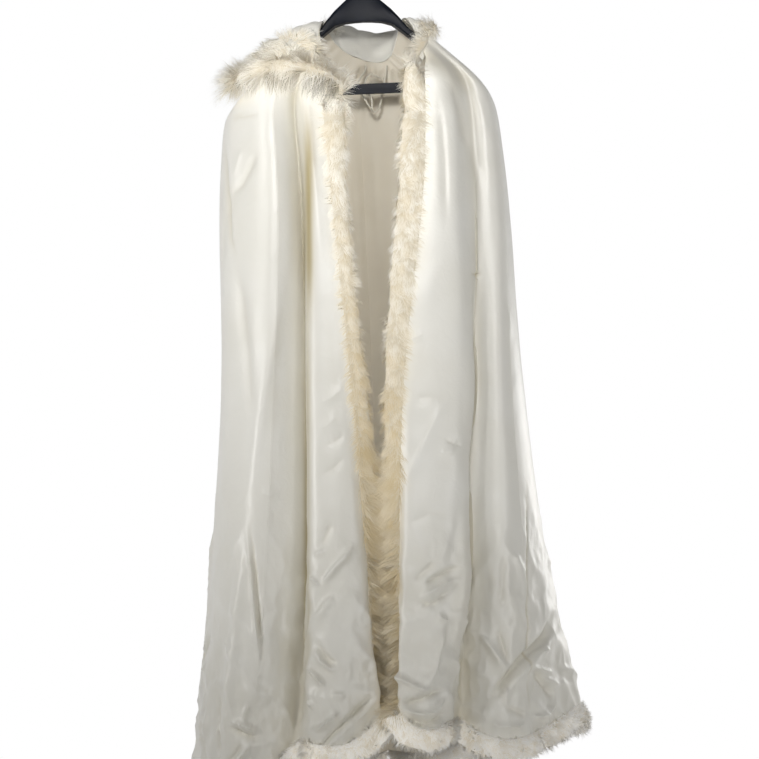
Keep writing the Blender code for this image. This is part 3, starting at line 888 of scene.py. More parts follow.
@dataclass
class ClothPanel:
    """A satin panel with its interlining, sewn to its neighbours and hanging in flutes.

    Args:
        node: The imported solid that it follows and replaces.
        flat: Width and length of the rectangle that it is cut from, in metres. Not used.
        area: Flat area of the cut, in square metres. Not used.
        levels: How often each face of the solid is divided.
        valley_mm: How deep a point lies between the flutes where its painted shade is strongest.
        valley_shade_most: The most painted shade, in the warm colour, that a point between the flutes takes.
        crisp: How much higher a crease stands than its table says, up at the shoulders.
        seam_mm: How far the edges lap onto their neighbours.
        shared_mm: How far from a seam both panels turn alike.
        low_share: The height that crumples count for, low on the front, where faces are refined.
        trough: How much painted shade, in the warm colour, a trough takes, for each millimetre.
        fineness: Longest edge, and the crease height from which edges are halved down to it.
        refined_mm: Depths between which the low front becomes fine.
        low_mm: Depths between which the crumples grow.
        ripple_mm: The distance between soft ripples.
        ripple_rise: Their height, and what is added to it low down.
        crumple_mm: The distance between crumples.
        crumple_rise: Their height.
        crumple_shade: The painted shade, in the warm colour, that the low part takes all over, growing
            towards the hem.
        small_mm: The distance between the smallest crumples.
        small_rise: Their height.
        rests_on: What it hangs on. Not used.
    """

    node: str
    flat: tuple[float, float]
    area: float
    levels: int = 2
    valley_mm: float = 11.0
    valley_shade_most: float = 0.35
    crisp: float = 1.8
    seam_mm: float = 1.4
    shared_mm: float = 18.0
    low_share: float = 0.3
    trough: float = 0.045
    fineness: tuple[tuple[float, float], ...] = ((10.0, 0.0), (4.9, 0.12), (2.8, 0.6))
    refined_mm: tuple[float, float] = (950.0, 1150.0)
    low_mm: tuple[float, float] = (900.0, 1350.0)
    ripple_mm: float = 46.0
    ripple_rise: tuple[float, float] = (0.3, 0.5)
    crumple_mm: float = 64.0
    crumple_rise: float = 3.0
    crumple_shade: float = 0.06
    small_mm: float = 31.0
    small_rise: float = 1.2
    rests_on: tuple[str, ...] = ("hanger_body",)

    def lay(self, creases: tuple[Crease, ...]) -> bpy.types.Object:
        """Makes the panel's outer sheet, fine enough for its creases.

        Args:
            creases: The ridges and troughs of the whole cape.

        Returns:
            The open sheet.
        """
        piece = copy_of(self.node, "satin_" + self.node)
        keep_sheet(piece, outer=True)
        self.shade_valleys(piece.data)
        smooth = linked("smooth_form", piece.data.copy())
        subdivide(smooth, self.levels + 2)
        form = BVHTree.FromPolygons(
            [corner.co for corner in smooth.data.vertices],
            [tuple(face.vertices) for face in smooth.data.polygons],
        )
        bpy.data.meshes.remove(smooth.data)
        subdivide(piece, self.levels)
        self.refine(piece, creases, form)
        return piece

    def finish(
        self,
        piece: bpy.types.Object,
        finishes: Finishes,
        creases: tuple[Crease, ...],
        seams: KDTree,
        leans: np.ndarray,
    ) -> None:
        """Draws the creases, gives the sheet its thickness and dresses it.

        Args:
            piece: The open sheet.
            finishes: The shared materials.
            creases: The ridges and troughs of the whole cape.
            seams: The edges of all the panels.
            leans: The directions of the cloth at those edges.
        """
        self.draw(piece.data, creases, seams, leans)
        let_out(piece, self.seam_mm)
        apply(piece, "SOLIDIFY", thickness=WALL * MM, offset=-1.0)
        dress(piece, finishes.satin)
        place(piece, self.node, "satin")

    def shade_valleys(self, mesh: bpy.types.Mesh) -> None:
        """Paints shade as deep as each point lies between the flutes beside it, in the fold attribute.

        Args:
            mesh: The open sheet, still coarse.
        """
        places = read(mesh)
        depth = dots(relaxed(mesh, places, rounds=5) - places, read(mesh, "normal"))
        # Painted shade, strongest between the flutes.
        paint(mesh, "fold", self.valley_shade_most * np.clip(depth / self.valley_mm, 0, 1))

    def refine(self, piece: bpy.types.Object, creases: tuple[Crease, ...], form: BVHTree) -> None:
        """Halves the edges near the creases, and sets the new points on the smooth form.

        Args:
            piece: The open sheet.
            creases: The ridges and troughs of the whole cape.
            form: The sheet's smooth form.
        """
        with reworked(piece) as work:
            for longest, least in self.fineness:
                work.normal_update()
                edges = [edge for edge in work.edges if edge.calc_length() > longest * MM]
                middles = np.array([(e.verts[0].co + e.verts[1].co) / 2 for e in edges]) / MM
                facings = np.array([e.verts[0].normal + e.verts[1].normal for e in edges]) / 2
                shown = np.full(len(edges), 0.0 if least > 0 else 1.0)
                if least > 0:
                    for crease in creases:
                        shown = np.maximum(shown, np.abs(crease.on(middles, facings)[0]))
                    low = smooth_step(-middles[:, 2], *self.refined_mm)
                    shown = np.maximum(shown, self.low_share * low * (facings[:, 1] < -0.4))
                chosen = [edge for edge, height in zip(edges, shown) if height > least]
                bmesh.ops.subdivide_edges(work, edges=chosen, cuts=1, use_grid_fill=True)
            for corner in work.verts:
                corner.co = form.find_nearest(corner.co)[0]

    def draw(
        self, mesh: bpy.types.Mesh, creases: tuple[Crease, ...], seams: KDTree, leans: np.ndarray
    ) -> None:
        """Raises and sinks the sheet along its creases, the same on both sides of a seam, and paints shade
        into its troughs and low down.

        Args:
            mesh: The open sheet.
            creases: The ridges and troughs of the whole cape.
            seams: The edges of all the panels.
            leans: The directions of the cloth at those edges.
        """
        places, normals = read(mesh), read(mesh, "normal")
        near = 1 - smooth_step(border_gap(mesh, places), 0.0, self.shared_mm)
        for number in np.flatnonzero(near > 0):
            found = [index for _, index, _ in seams.find_n(Vector(places[number]), 12)]
            normals[number] += near[number] * (leans[found].mean(axis=0) - normals[number])
        normals = unit(normals)
        fold = painted(mesh, "fold")
        low = smooth_step(-places[:, 2], *self.low_mm)
        height = np.zeros(len(places))
        for crease in creases:
            rise, tint = crease.on(places, normals)
            height += self.crisp * (1 + low) * rise
            # Painted shade along the crease, and more in each trough.
            fold = fold + tint + self.trough * np.clip(-rise, 0, 2)
        everywhere, more = self.ripple_rise
        height += (everywhere + more * low) * swell(places * (1, 1, 0.45), self.ripple_mm, seed=11)
        crumple = crinkle(places * (1, 1, 0.6), self.crumple_mm, seed=12)
        height += self.crumple_rise * low * crumple
        # Painted shade low down, more in the crumples' beds.
        fold = fold + low * (self.crumple_shade + self.trough * np.clip(-crumple, 0, 1))
        height += self.small_rise * low * crinkle(places * (1, 1, 0.8), self.small_mm, seed=13)
        write(mesh, places + normals * height[:, None])
        paint(mesh, "fold", np.clip(fold, 0, 1))
        paint(mesh, "rumple", 0.2 + 0.8 * low)


@dataclass
class BackLining:
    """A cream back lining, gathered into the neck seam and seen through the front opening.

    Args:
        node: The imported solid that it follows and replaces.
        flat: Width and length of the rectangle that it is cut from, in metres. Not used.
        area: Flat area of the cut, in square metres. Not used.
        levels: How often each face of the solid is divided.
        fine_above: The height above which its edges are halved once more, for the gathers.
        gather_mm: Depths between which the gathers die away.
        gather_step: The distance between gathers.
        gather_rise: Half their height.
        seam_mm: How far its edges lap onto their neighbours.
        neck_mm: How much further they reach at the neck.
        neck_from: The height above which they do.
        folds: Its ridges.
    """

    node: str
    flat: tuple[float, float]
    area: float
    levels: int = 2
    fine_above: float = -300.0
    gather_mm: tuple[float, float] = (196.0, 255.0)
    gather_step: float = 20.0
    gather_rise: float = 1.9
    seam_mm: float = 1.0
    neck_mm: float = 2.6
    neck_from: float = -232.0
    folds: tuple[Crease, ...] = ()

    def build(self, finishes: Finishes) -> None:
        """Makes the lining with its gathers and folds.

        Args:
            finishes: The shared materials.
        """
        piece = copy_of(self.node, "cream_" + self.node)
        keep_sheet(piece, outer=False)
        subdivide(piece, self.levels)
        with reworked(piece) as work:
            high = [e for e in work.edges if min(v.co.z for v in e.verts) > self.fine_above * MM]
            bmesh.ops.subdivide_edges(work, edges=high, cuts=1, use_grid_fill=True)
        self.draw(piece.data)
        let_out(piece, self.seam_mm)
        let_out(piece, self.neck_mm, above=self.neck_from)
        apply(piece, "SOLIDIFY", thickness=LINING_WALL * MM, offset=-1.0)
        dress(piece, finishes.lining)
        place(piece, self.node, "lining")

    def draw(self, mesh: bpy.types.Mesh) -> None:
        """Raises the gathers and folds, which die away at the seams.

        Args:
            mesh: The open sheet.
        """
        places, normals = read(mesh), read(mesh, "normal")
        fade = 1 - smooth_step(-places[:, 2], *self.gather_mm)
        phase = places[:, 0] / self.gather_step + 0.8 * swell(places, 60.0, seed=5)
        height = self.gather_rise * fade * (1 + np.sin(2 * math.pi * phase))
        height += 1.0 + 0.9 * swell(places * (1, 1, 0.2), 60.0, seed=6)
        for fold in self.folds:
            height += fold.on(places, normals)[0]
        height = np.maximum(height, 0) * smooth_step(border_gap(mesh, places), 0.0, 14.0)
        write(mesh, places + normals * height[:, None])


@dataclass
class HoodHalf:
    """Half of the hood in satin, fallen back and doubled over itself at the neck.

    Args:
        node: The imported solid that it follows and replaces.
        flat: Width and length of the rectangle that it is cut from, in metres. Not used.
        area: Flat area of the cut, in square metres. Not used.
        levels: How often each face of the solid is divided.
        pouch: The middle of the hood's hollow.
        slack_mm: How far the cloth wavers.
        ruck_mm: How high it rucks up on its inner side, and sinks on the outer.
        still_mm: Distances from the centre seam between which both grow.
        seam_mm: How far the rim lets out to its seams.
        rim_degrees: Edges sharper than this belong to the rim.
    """

    node: str
    flat: tuple[float, float]
    area: float
    levels: int = 2
    pouch: Place = (3.0, 131.0, -260.0)
    slack_mm: float = 0.7
    ruck_mm: float = 2.6
    still_mm: tuple[float, float] = (2.0, 20.0)
    seam_mm: float = 0.6
    rim_degrees: float = 55.0

    def build(self, finishes: Finishes) -> None:
        """Makes the hood half, with the lining's tone and painted shade on its inner side.

        Args:
            finishes: The shared materials.
        """
        piece = copy_of(self.node, "satin_" + self.node)
        mesh = piece.data
        self.sharpen_rim(piece)
        # The inner wall's warm colour is partly the lining's tone and partly painted shade.
        paint(mesh, "fold", self.lining_tone_and_shade(mesh))
        paint(mesh, "rumple", np.full(len(mesh.vertices), 0.3))
        subdivide(piece, self.levels)
        self.ruck(piece.data)
        dress(piece, finishes.satin, degrees=60)
        place(piece, self.node, "satin")

    def sharpen_rim(self, piece: bpy.types.Object) -> None:
        """Keeps the cut edges crisp under subdivision and lets them out to their seams.

        Args:
            piece: The closed wall, still coarse.
        """
        with reworked(piece) as work:
            sharp = work.edges.layers.float.new("crease_edge")
            for edge in work.edges:
                if edge.is_manifold and edge.calc_face_angle() > math.radians(self.rim_degrees):
                    edge[sharp] = 1.0
            moves = {}
            for face in work.faces:
                short = sum(edge.calc_length() < WALL_EDGE * MM for edge in face.edges)
                creased = sum(edge[sharp] > 0 for edge in face.edges)
                if short >= len(face.verts) - 2 and creased >= 1:
                    for corner in face.verts:
                        moves[corner] = moves.get(corner, Vector()) + face.normal
            for corner, way in moves.items():
                corner.co += way.normalized() * self.seam_mm * MM

    def lining_tone_and_shade(self, mesh: bpy.types.Mesh) -> np.ndarray:
        """Gives the inner wall the lining's warm tone with uneven painted shade, and none to the outer.

        Args:
            mesh: The closed wall, still coarse.

        Returns:
            The share of the warm colour, tone and painted shade, at each point.
        """
        places = read(mesh)
        away = dots(read(mesh, "normal"), places - np.array(self.pouch))
        return np.where(away < 0, 0.4 + 0.22 * swell(places, 60.0, seed=26), 0.0)

    def ruck(self, mesh: bpy.types.Mesh) -> None:
        """Rucks the cloth up, less so towards the centre seam.

        Args:
            mesh: The closed wall.
        """
        places, normals = read(mesh), read(mesh, "normal")
        free = smooth_step(np.abs(places[:, 0] - self.pouch[0]), *self.still_mm)
        slack = np.stack([swell(places, 38.0, seed=s) for s in (21, 22, 23)], axis=1)
        slack *= free[:, None]
        side = np.clip(-2 * dots(normals, unit(places - np.array(self.pouch))), -1, 1) * free
        ruck = self.ruck_mm * side * crinkle(places * (1, 1, 0.7), 40.0, seed=25)
        write(mesh, places + self.slack_mm * slack + normals * ruck[:, None])


def keep_sheet(piece: bpy.types.Object, outer: bool) -> None:
    """Opens a closed wall into the one of its two sheets that is wanted.

    Args:
        piece: The closed wall, with its rim faces as wide as the wall is thick.
        outer: Whether the sheet that faces away from the wearer stays.
    """
    with reworked(piece) as work:
        rim = []
        for face in work.faces:
            short = sum(edge.calc_length() < WALL_EDGE * MM for edge in face.edges)
            if short >= (2 if len(face.verts) == 4 else 1):
                rim.append(face)
        bmesh.ops.delete(work, geom=rim, context="FACES")
        rest = set(work.faces)
        axis = Vector((0, AXIS_Y * MM, 0))
        while rest:
            sheet = [rest.pop()]
            for face in sheet:
                for other in (near for edge in face.edges for near in edge.link_faces):
                    if other in rest:
                        rest.remove(other)
                        sheet.append(other)
            lean = 0.0
            for face in sheet:
                arm = face.calc_center_median() - axis
                lean += face.calc_area() * (face.normal.x * arm.x + face.normal.y * arm.y)
            if (lean > 0) != outer:
                bmesh.ops.delete(work, geom=sheet, context="FACES")


def seam_directions(sheets: list[bpy.types.Object]) -> tuple[KDTree, np.ndarray]:
    """Collects the open edges of all the sheets, with the cloth's direction at them.

    Args:
        sheets: The open sheets.

    Returns:
        The edges' points as a tree, in millimetres, and a direction for each.
    """
    points, leans = [], []
    for sheet in sheets:
        border = border_points(sheet.data)
        points.append(read(sheet.data)[border])
        leans.append(read(sheet.data, "normal")[border])
    return tree_of(np.concatenate(points)), np.concatenate(leans)


def edge_uses(mesh: bpy.types.Mesh) -> dict[tuple[int, int], int]:
    """Counts the faces that share each edge.

    Args:
        mesh: The mesh.

    Returns:
        The number of faces for each edge's two point numbers, lower first.
    """
    uses = {}
    for polygon in mesh.polygons:
        for key in polygon.edge_keys:
            uses[key] = uses.get(key, 0) + 1
    return uses


def border_points(mesh: bpy.types.Mesh) -> list[int]:
    """Returns the numbers of the points on a sheet's open edges."""
    return sorted({corner for key, count in edge_uses(mesh).items() if count == 1 for corner in key})


def border_gap(mesh: bpy.types.Mesh, places: np.ndarray) -> np.ndarray:
    """Measures how far each point of a sheet lies from its open edges.

    Args:
        mesh: The open sheet.
        places: Its points, in millimetres.

    Returns:
        A distance for each point, in millimetres.
    """
    tree = tree_of(places[border_points(mesh)])
    return np.array([tree.find(point)[2] for point in places])


def let_out(piece: bpy.types.Object, reach: float, above: float = -math.inf) -> None:
    """Moves a sheet's open edges outwards, so that they lap onto their neighbours at the seams.

    Args:
        piece: The open sheet.
        reach: How far the edges move, in millimetres.
        above: The height above which they move, in millimetres.
    """
    with reworked(piece) as work:
        work.normal_update()
        moves = {}
        for edge in work.edges:
            if not edge.is_boundary:
                continue
            face = edge.link_faces[0]
            middle = (edge.verts[0].co + edge.verts[1].co) / 2
            way = (edge.verts[1].co - edge.verts[0].co).cross(face.normal).normalized()
            if way.dot(middle - face.calc_center_median()) < 0:
                way.negate()
            for corner in edge.verts:
                moves[corner] = moves.get(corner, Vector()) + way
        for corner, way in moves.items():
            if corner.co.z > above * MM:
                corner.co += way.normalized() * reach * MM


def relaxed(mesh: bpy.types.Mesh, places: np.ndarray, rounds: int) -> np.ndarray:
    """Draws each point towards its neighbours, with open edges kept along themselves.

    Args:
        mesh: The mesh whose edges join the points.
        places: The points, in millimetres.
        rounds: How many times.

    Returns:
        The relaxed points.
    """
    ends = np.empty(len(mesh.edges) * 2, int)
    mesh.edges.foreach_get("vertices", ends)
    ends = ends.reshape(-1, 2)
    uses = edge_uses(mesh)
    open_edge = np.array([uses.get((min(a, b), max(a, b)), 0) < 2 for a, b in ends])
    border = np.zeros(len(places), bool)
    border[ends[open_edge].ravel()] = True
    weight = np.where(open_edge, 1.0, 0.0)
    out = places.copy()
    for _ in range(rounds):
        total = np.zeros_like(out)
        count = np.zeros(len(out))
        for a, b in ((0, 1), (1, 0)):
            share = np.where(border[ends[:, a]], weight, 1.0)
            np.add.at(total, ends[:, a], out[ends[:, b]] * share[:, None])
            np.add.at(count, ends[:, a], share)
        out = np.where(count[:, None] > 0, total / np.maximum(count, 1)[:, None], out)
    return out


@dataclass(frozen=True)
class Pile:
    """How the pile grows, the same in every band. Gaps, depths and distances are in millimetres.

    Args:
        core_sink: How far a core lies under its solid, also beside the cloth.
        core_seat: Gaps from the cloth between which a core comes into its own form.
        core_lump: The distance between a core's lumps.
        end_sharp: How sharp a core's cut ends stay when it is rounded.
        tuft_length: The shortest and longest tuft, as shares of the band's pile.
        tuft_tone: The tufts' lowest and highest tone. Below 0 none shows.
        strand_length: The shortest and longest strand, as shares of its tuft's.
        strand_width: The narrowest and widest strand, as shares of the band's.
        stray: How far a tuft, and a strand in it, stray from the comb.
        waver: The distance between turns of the comb's way, and how far it turns.
        down: The way in which the front bands are combed.
        out_drop: How far down the hem's pile is combed, against its distance from the middle.
        face_middle: The middle of the hood's face edge, which its pile points away from.
        face_drop: How far below that it points.
        flare_up: How far the front bands' upper ends are combed up.
        flare_longer: How much longer their pile is.
        inward_longer: How much longer the pile is where it leans inwards.
        closing: The distance in which that lean grows.
        neck_across: Distances from the middle between which the curl over the neck ends.
        neck_down: Depths between which it ends.
        neck_reach: The distance from the middle at which most of it is there.
        tail_down: Depths between which the tail begins.
        lap_gap: Gaps from the cloth between which the pile stops leaning over it.
        lap_rise: How far the pile rises there.
        arch: How far a strand arches up between its root and its tip.
        fall: How far its tip drops.
        gather: How late along its length it draws towards its tuft.
        taper: How late along its length it gets thin.
        turn: How far a blade turns about its own run, in radians.
        shade_reach: The distance in which the painted shade lower down grows.
        spill_way: The way that cloth faces where pile spills over it.
        spill_least: How nearly it has to.
        out_glow: How far up the hem is lit, against its distance from the middle.
        front_glow: The way from which the front bands are lit.
    """

    core_sink: float = 0.3
    core_seat: tuple[float, float] = (1.0, 10.0)
    core_lump: float = 34.0
    end_sharp: float = 0.9
    tuft_length: tuple[float, float] = (0.75, 1.2)
    tuft_tone: tuple[float, float] = (-0.3, 0.26)
    strand_length: tuple[float, float] = (0.7, 1.1)
    strand_width: tuple[float, float] = (0.7, 1.25)
    stray: tuple[float, float] = (0.22, 0.15)
    waver: tuple[float, float] = (70.0, 0.45)
    down: Place = (0.0, -0.15, -1.0)
    out_drop: float = -60.0
    face_middle: Place = (10.0, 60.0, -150.0)
    face_drop: float = 25.0
    flare_up: float = 2.0
    flare_longer: float = 0.8
    inward_longer: float = 1.4
    closing: float = 150.0
    neck_across: tuple[float, float] = (110.0, 150.0)
    neck_down: tuple[float, float] = (212.0, 232.0)
    neck_reach: float = 50.0
    tail_down: tuple[float, float] = (205.0, 240.0)
    lap_gap: tuple[float, float] = (3.0, 14.0)
    lap_rise: float = 0.4
    arch: float = 0.25
    fall: Place = (0.0, 0.0, -0.16)
    gather: float = 1.6
    taper: float = 0.7
    turn: float = 0.5
    shade_reach: float = 500.0
    spill_way: Place = (0.1, -0.8, 0.6)
    spill_least: float = -0.1
    out_glow: float = 0.8
    front_glow: Place = (0.0, -1.0, 0.3)


PILE = Pile()


@dataclass
class FurBand:
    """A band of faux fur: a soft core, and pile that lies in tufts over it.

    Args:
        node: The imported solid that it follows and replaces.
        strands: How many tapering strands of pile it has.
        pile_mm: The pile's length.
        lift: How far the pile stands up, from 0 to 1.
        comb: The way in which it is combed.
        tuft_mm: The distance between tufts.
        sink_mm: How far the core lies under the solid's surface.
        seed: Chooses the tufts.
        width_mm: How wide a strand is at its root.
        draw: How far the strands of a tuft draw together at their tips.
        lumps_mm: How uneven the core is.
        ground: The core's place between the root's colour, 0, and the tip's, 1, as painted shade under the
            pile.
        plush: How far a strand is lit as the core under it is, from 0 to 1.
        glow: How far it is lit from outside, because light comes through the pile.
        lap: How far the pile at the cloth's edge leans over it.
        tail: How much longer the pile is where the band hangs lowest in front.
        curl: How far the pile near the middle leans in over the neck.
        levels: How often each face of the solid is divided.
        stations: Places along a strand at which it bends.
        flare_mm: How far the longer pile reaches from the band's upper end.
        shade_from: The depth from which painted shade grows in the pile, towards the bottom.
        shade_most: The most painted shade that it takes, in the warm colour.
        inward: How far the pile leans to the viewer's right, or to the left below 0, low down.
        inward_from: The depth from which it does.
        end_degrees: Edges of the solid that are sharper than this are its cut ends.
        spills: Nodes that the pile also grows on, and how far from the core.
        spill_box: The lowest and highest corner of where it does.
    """

    node: str
    strands: int
    pile_mm: float
    lift: float
    comb: Comb
    tuft_mm: float
    sink_mm: float
    seed: int
    width_mm: float = 1.15
    draw: float = 0.35
    lumps_mm: float = 2.0
    ground: float = 0.15
    plush: float = 0.62
    glow: float = 0.4
    lap: float = 0.7
    tail: float = 0.0
    curl: float = 0.0
    levels: int = 2
    stations: tuple[float, ...] = (0.0, 0.5, 1.0)
    flare_mm: float = 0.0
    shade_from: float = 0.0
    shade_most: float = 0.0
    inward: float = 0.0
    inward_from: float = 860.0
    end_degrees: float = 72.0
    spills: tuple[tuple[str, float], ...] = ()
    spill_box: tuple[Place, Place] = ((0, 0, 0), (0, 0, 0))

    def build(self, finishes: Finishes, cloth: BVHTree) -> None:
        """Makes the core and the pile, and joins them.

        Args:
            finishes: The shared materials.
            cloth: The satin that the pile lies over.
        """
        piece = copy_of(self.node, "pile_" + self.node)
        with reworked(piece) as work:
            sharp = work.edges.layers.float.new("crease_edge")
            for edge in work.edges:
                if edge.is_manifold and edge.calc_face_angle() > math.radians(self.end_degrees):
                    edge[sharp] = PILE.end_sharp
        subdivide(piece, self.levels)
        mesh = piece.data
        self.soften(mesh, cloth)
        pile, lay = self.pile(mesh, cloth)
        lay = np.concatenate([self.lit(read(mesh), read(mesh, "normal")), lay])
        only(piece)
        bpy.ops.object.shade_smooth()
        pile.select_set(True)
        bpy.ops.object.join()
        piece.data.normals_split_custom_set_from_vertices(lay)
        piece.data.materials.clear()
        piece.data.materials.append(finishes.hem if self.comb is Comb.OUT else finishes.fur)
        piece.visible_shadow = False
        place(piece, self.node, "fur")

    def soften(self, mesh: bpy.types.Mesh, cloth: BVHTree) -> None:
        """Sinks the core under the pile in soft lumps, and paints it in the ground colour, as shade under the
        pile.

        Args:
            mesh: The core.
            cloth: The satin, at which the core keeps its shape.
        """
        places = read(mesh)
        lumps = self.lumps_mm * swell(places, PILE.core_lump, seed=30)
        seat = np.array([cloth.find_nearest(Vector(point * MM))[3] / MM for point in places])
        free = smooth_step(seat, *PILE.core_seat)
        sunk = free * (lumps - self.sink_mm) - PILE.core_sink
        write(mesh, places + read(mesh, "normal") * sunk[:, None])
        paint(mesh, "tip", np.full(len(places), self.ground))
        paint(mesh, "tone", np.zeros(len(places)))

    def roots(self, mesh: bpy.types.Mesh, chance: np.random.Generator) -> tuple[np.ndarray, np.ndarray]:
        """Spreads the strands' roots evenly over the core.

        Args:
            mesh: The core.
            chance: The source of chance.

        Returns:
            The roots' places, in millimetres, and the core's directions there.
        """
        places, normals, corners = triangles_of(mesh)
        tree = BVHTree.FromPolygons(places * MM, corners.tolist())
        for node, reach in self.spills:
            others, leans, faces = triangles_of(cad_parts[node].data)
            middles = others[faces].mean(axis=1)
            low, high = self.spill_box
            inside = np.all((middles > low) & (middles < high), axis=1)
            up = leans[faces[:, 0]] @ np.array(PILE.spill_way) > PILE.spill_least
            near = [tree.find_nearest(Vector(m * MM))[3] / MM < reach for m in middles]
            faces = faces[inside & up & np.array(near)]
            corners = np.concatenate([corners, faces + len(places)])
            places = np.concatenate([places, others])
            normals = np.concatenate([normals, leans])
        a, b, c = (places[corners[:, k]] for k in range(3))
        area = np.linalg.norm(np.cross(b - a, c - a), axis=1)
        picks = chance.choice(len(corners), self.strands, p=area / area.sum())
        u, v = chance.random(self.strands), chance.random(self.strands)
        over = u + v > 1
        u, v = np.where(over, 1 - u, u), np.where(over, 1 - v, v)
        shares = np.stack([1 - u - v, u, v], axis=1)
        root = np.einsum("ij,ijk->ik", shares, places[corners[picks]])
        lean = np.einsum("ij,ijk->ik", shares, normals[corners[picks]])
        return root, unit(lean)

    def combed(self, root: np.ndarray) -> np.ndarray:
        """Gives the way in which the pile is combed at each root.

        Args:
            root: The roots' places, in millimetres.

        Returns:
            A direction for each root.
        """
        if self.comb is Comb.DOWN:
            run = np.tile(PILE.down, (len(root), 1))
            run[:, 2] += PILE.flare_up * self.flare(root)
        elif self.comb is Comb.OUT:
            drop = np.full(len(root), PILE.out_drop)
            run = np.column_stack([root[:, 0], root[:, 1] - AXIS_Y, drop])
        else:
            run = root - np.array(PILE.face_middle)
            run[:, 2] -= PILE.face_drop
        wave, most = PILE.waver
        waver = np.stack([swell(root, wave, seed=self.seed + k) for k in (1, 2, 3)], axis=1)
        return unit(run) + most * waver

    def lit(self, places: np.ndarray, leans: np.ndarray) -> np.ndarray:
        """Turns the lit directions outwards, because light also comes through the pile.

        Args:
            places: Points of the band, in millimetres.
            leans: The surface's directions at them.

        Returns:
            The directions in which the points are lit.
        """
        if self.comb is Comb.OUT:
            way = np.column_stack([places[:, 0], places[:, 1] - AXIS_Y, np.zeros(len(places))])
            way[:, 2] = PILE.out_glow * np.linalg.norm(way, axis=1)
        elif self.comb is Comb.DOWN:
            way = np.tile(PILE.front_glow, (len(places), 1))
        else:
            way = places - np.array(PILE.face_middle)
        return unit(leans + self.glow * unit(way))

    def flare(self, root: np.ndarray) -> np.ndarray:
        """Measures how near each root is to the band's upper end.

        Args:
            root: The roots' places, in millimetres.

        Returns:
            Numbers from 0 to 1, all 0 where the band has no flare.
        """
        if not self.flare_mm:
            return np.zeros(len(root))
        return np.exp(-(root[:, 2].max() - root[:, 2]) / self.flare_mm)

    def closing(self, root: np.ndarray) -> np.ndarray:
        """Returns how far down each root lies, from 0 to 1, where the two front bands close up."""
        return smooth_step(-root[:, 2], self.inward_from, self.inward_from + PILE.closing)

    def aim(
        self, root: np.ndarray, lean: np.ndarray, stray: np.ndarray, cloth: BVHTree
    ) -> np.ndarray:
        """Gives the direction in which each strand grows.

        Args:
            root: The roots' places, in millimetres.
            lean: The core's directions at them.
            stray: How each strand strays from the comb.
            cloth: The satin, which the pile beside it leans over.

        Returns:
            A direction for each strand.
        """
        run = self.combed(root)
        run -= lean * dots(run, lean)[:, None]
        aim = lean * self.lift + unit(run, TINY) * (1 - self.lift)
        aim += stray
        aim[:, 0] += self.inward * self.closing(root)
        centre = 1 - smooth_step(np.abs(root[:, 0]), *PILE.neck_across)
        centre *= 1 - smooth_step(-root[:, 2], *PILE.neck_down)
        aim[:, 0] -= self.curl * centre * np.tanh(root[:, 0] / PILE.neck_reach)
        found = [cloth.find_nearest(Vector(point * MM)) for point in root]
        gap = np.array([hit[3] for hit in found]) / MM
        toward = np.array([hit[0] for hit in found]) / MM - root
        toward /= gap[:, None] + TINY
        lap = 1 - smooth_step(gap, *PILE.lap_gap)
        aim += lap[:, None] * (self.lap * toward + PILE.lap_rise * lean)
        return unit(aim)

    def pile(self, mesh: bpy.types.Mesh, cloth: BVHTree) -> tuple[bpy.types.Object, np.ndarray]:
        """Grows the strands of pile in tufts.

        Args:
            mesh: The core.
            cloth: The satin, which no strand passes through.

        Returns:
            The strands as one piece, and the direction in which each of their points is lit.
        """
        chance = np.random.default_rng(self.seed)
        root, lean = self.roots(mesh, chance)
        surface = sum(polygon.area for polygon in mesh.polygons) / MM**2
        tufts = root[: int(surface / self.tuft_mm**2)]
        tree = tree_of(tufts)
        tuft = np.array([tree.find(point)[1] for point in root])
        wander = chance.normal(size=(len(tufts), 3))
        longer = chance.uniform(*PILE.tuft_length, len(tufts))
        warmth = chance.uniform(*PILE.tuft_tone, len(tufts))
        together, alone = PILE.stray
        stray = together * wander[tuft] + alone * chance.normal(size=root.shape)
        aim = self.aim(root, lean, stray, cloth)
        length = self.pile_mm * longer[tuft] * chance.uniform(*PILE.strand_length, len(root))
        length *= 1 + PILE.flare_longer * self.flare(root)
        length *= 1 + self.tail * smooth_step(-root[:, 2], *PILE.tail_down)
        length *= 1 + PILE.inward_longer * abs(self.inward) * self.closing(root)
        pull = (tufts[tuft] - root) * self.draw
        spine = []
        for t in self.stations:
            bend = lean * (PILE.arch * (1 - t) * t) + np.array(PILE.fall) * t * t + aim * t
            spine.append(root + length[:, None] * bend + pull * t**PILE.gather)
        clear = self.clear_of(cloth, spine[0], spine[-1])
        tone = np.clip(warmth[tuft[clear]], 0, 1)
        # Painted shade, growing towards the bottom of the band.
        if self.shade_most:
            deep = smooth_step(-root[clear, 2], self.shade_from, self.shade_from + PILE.shade_reach)
            tone += self.shade_most * deep
        return self.cut([s[clear] for s in spine], lean[clear], tone, chance)

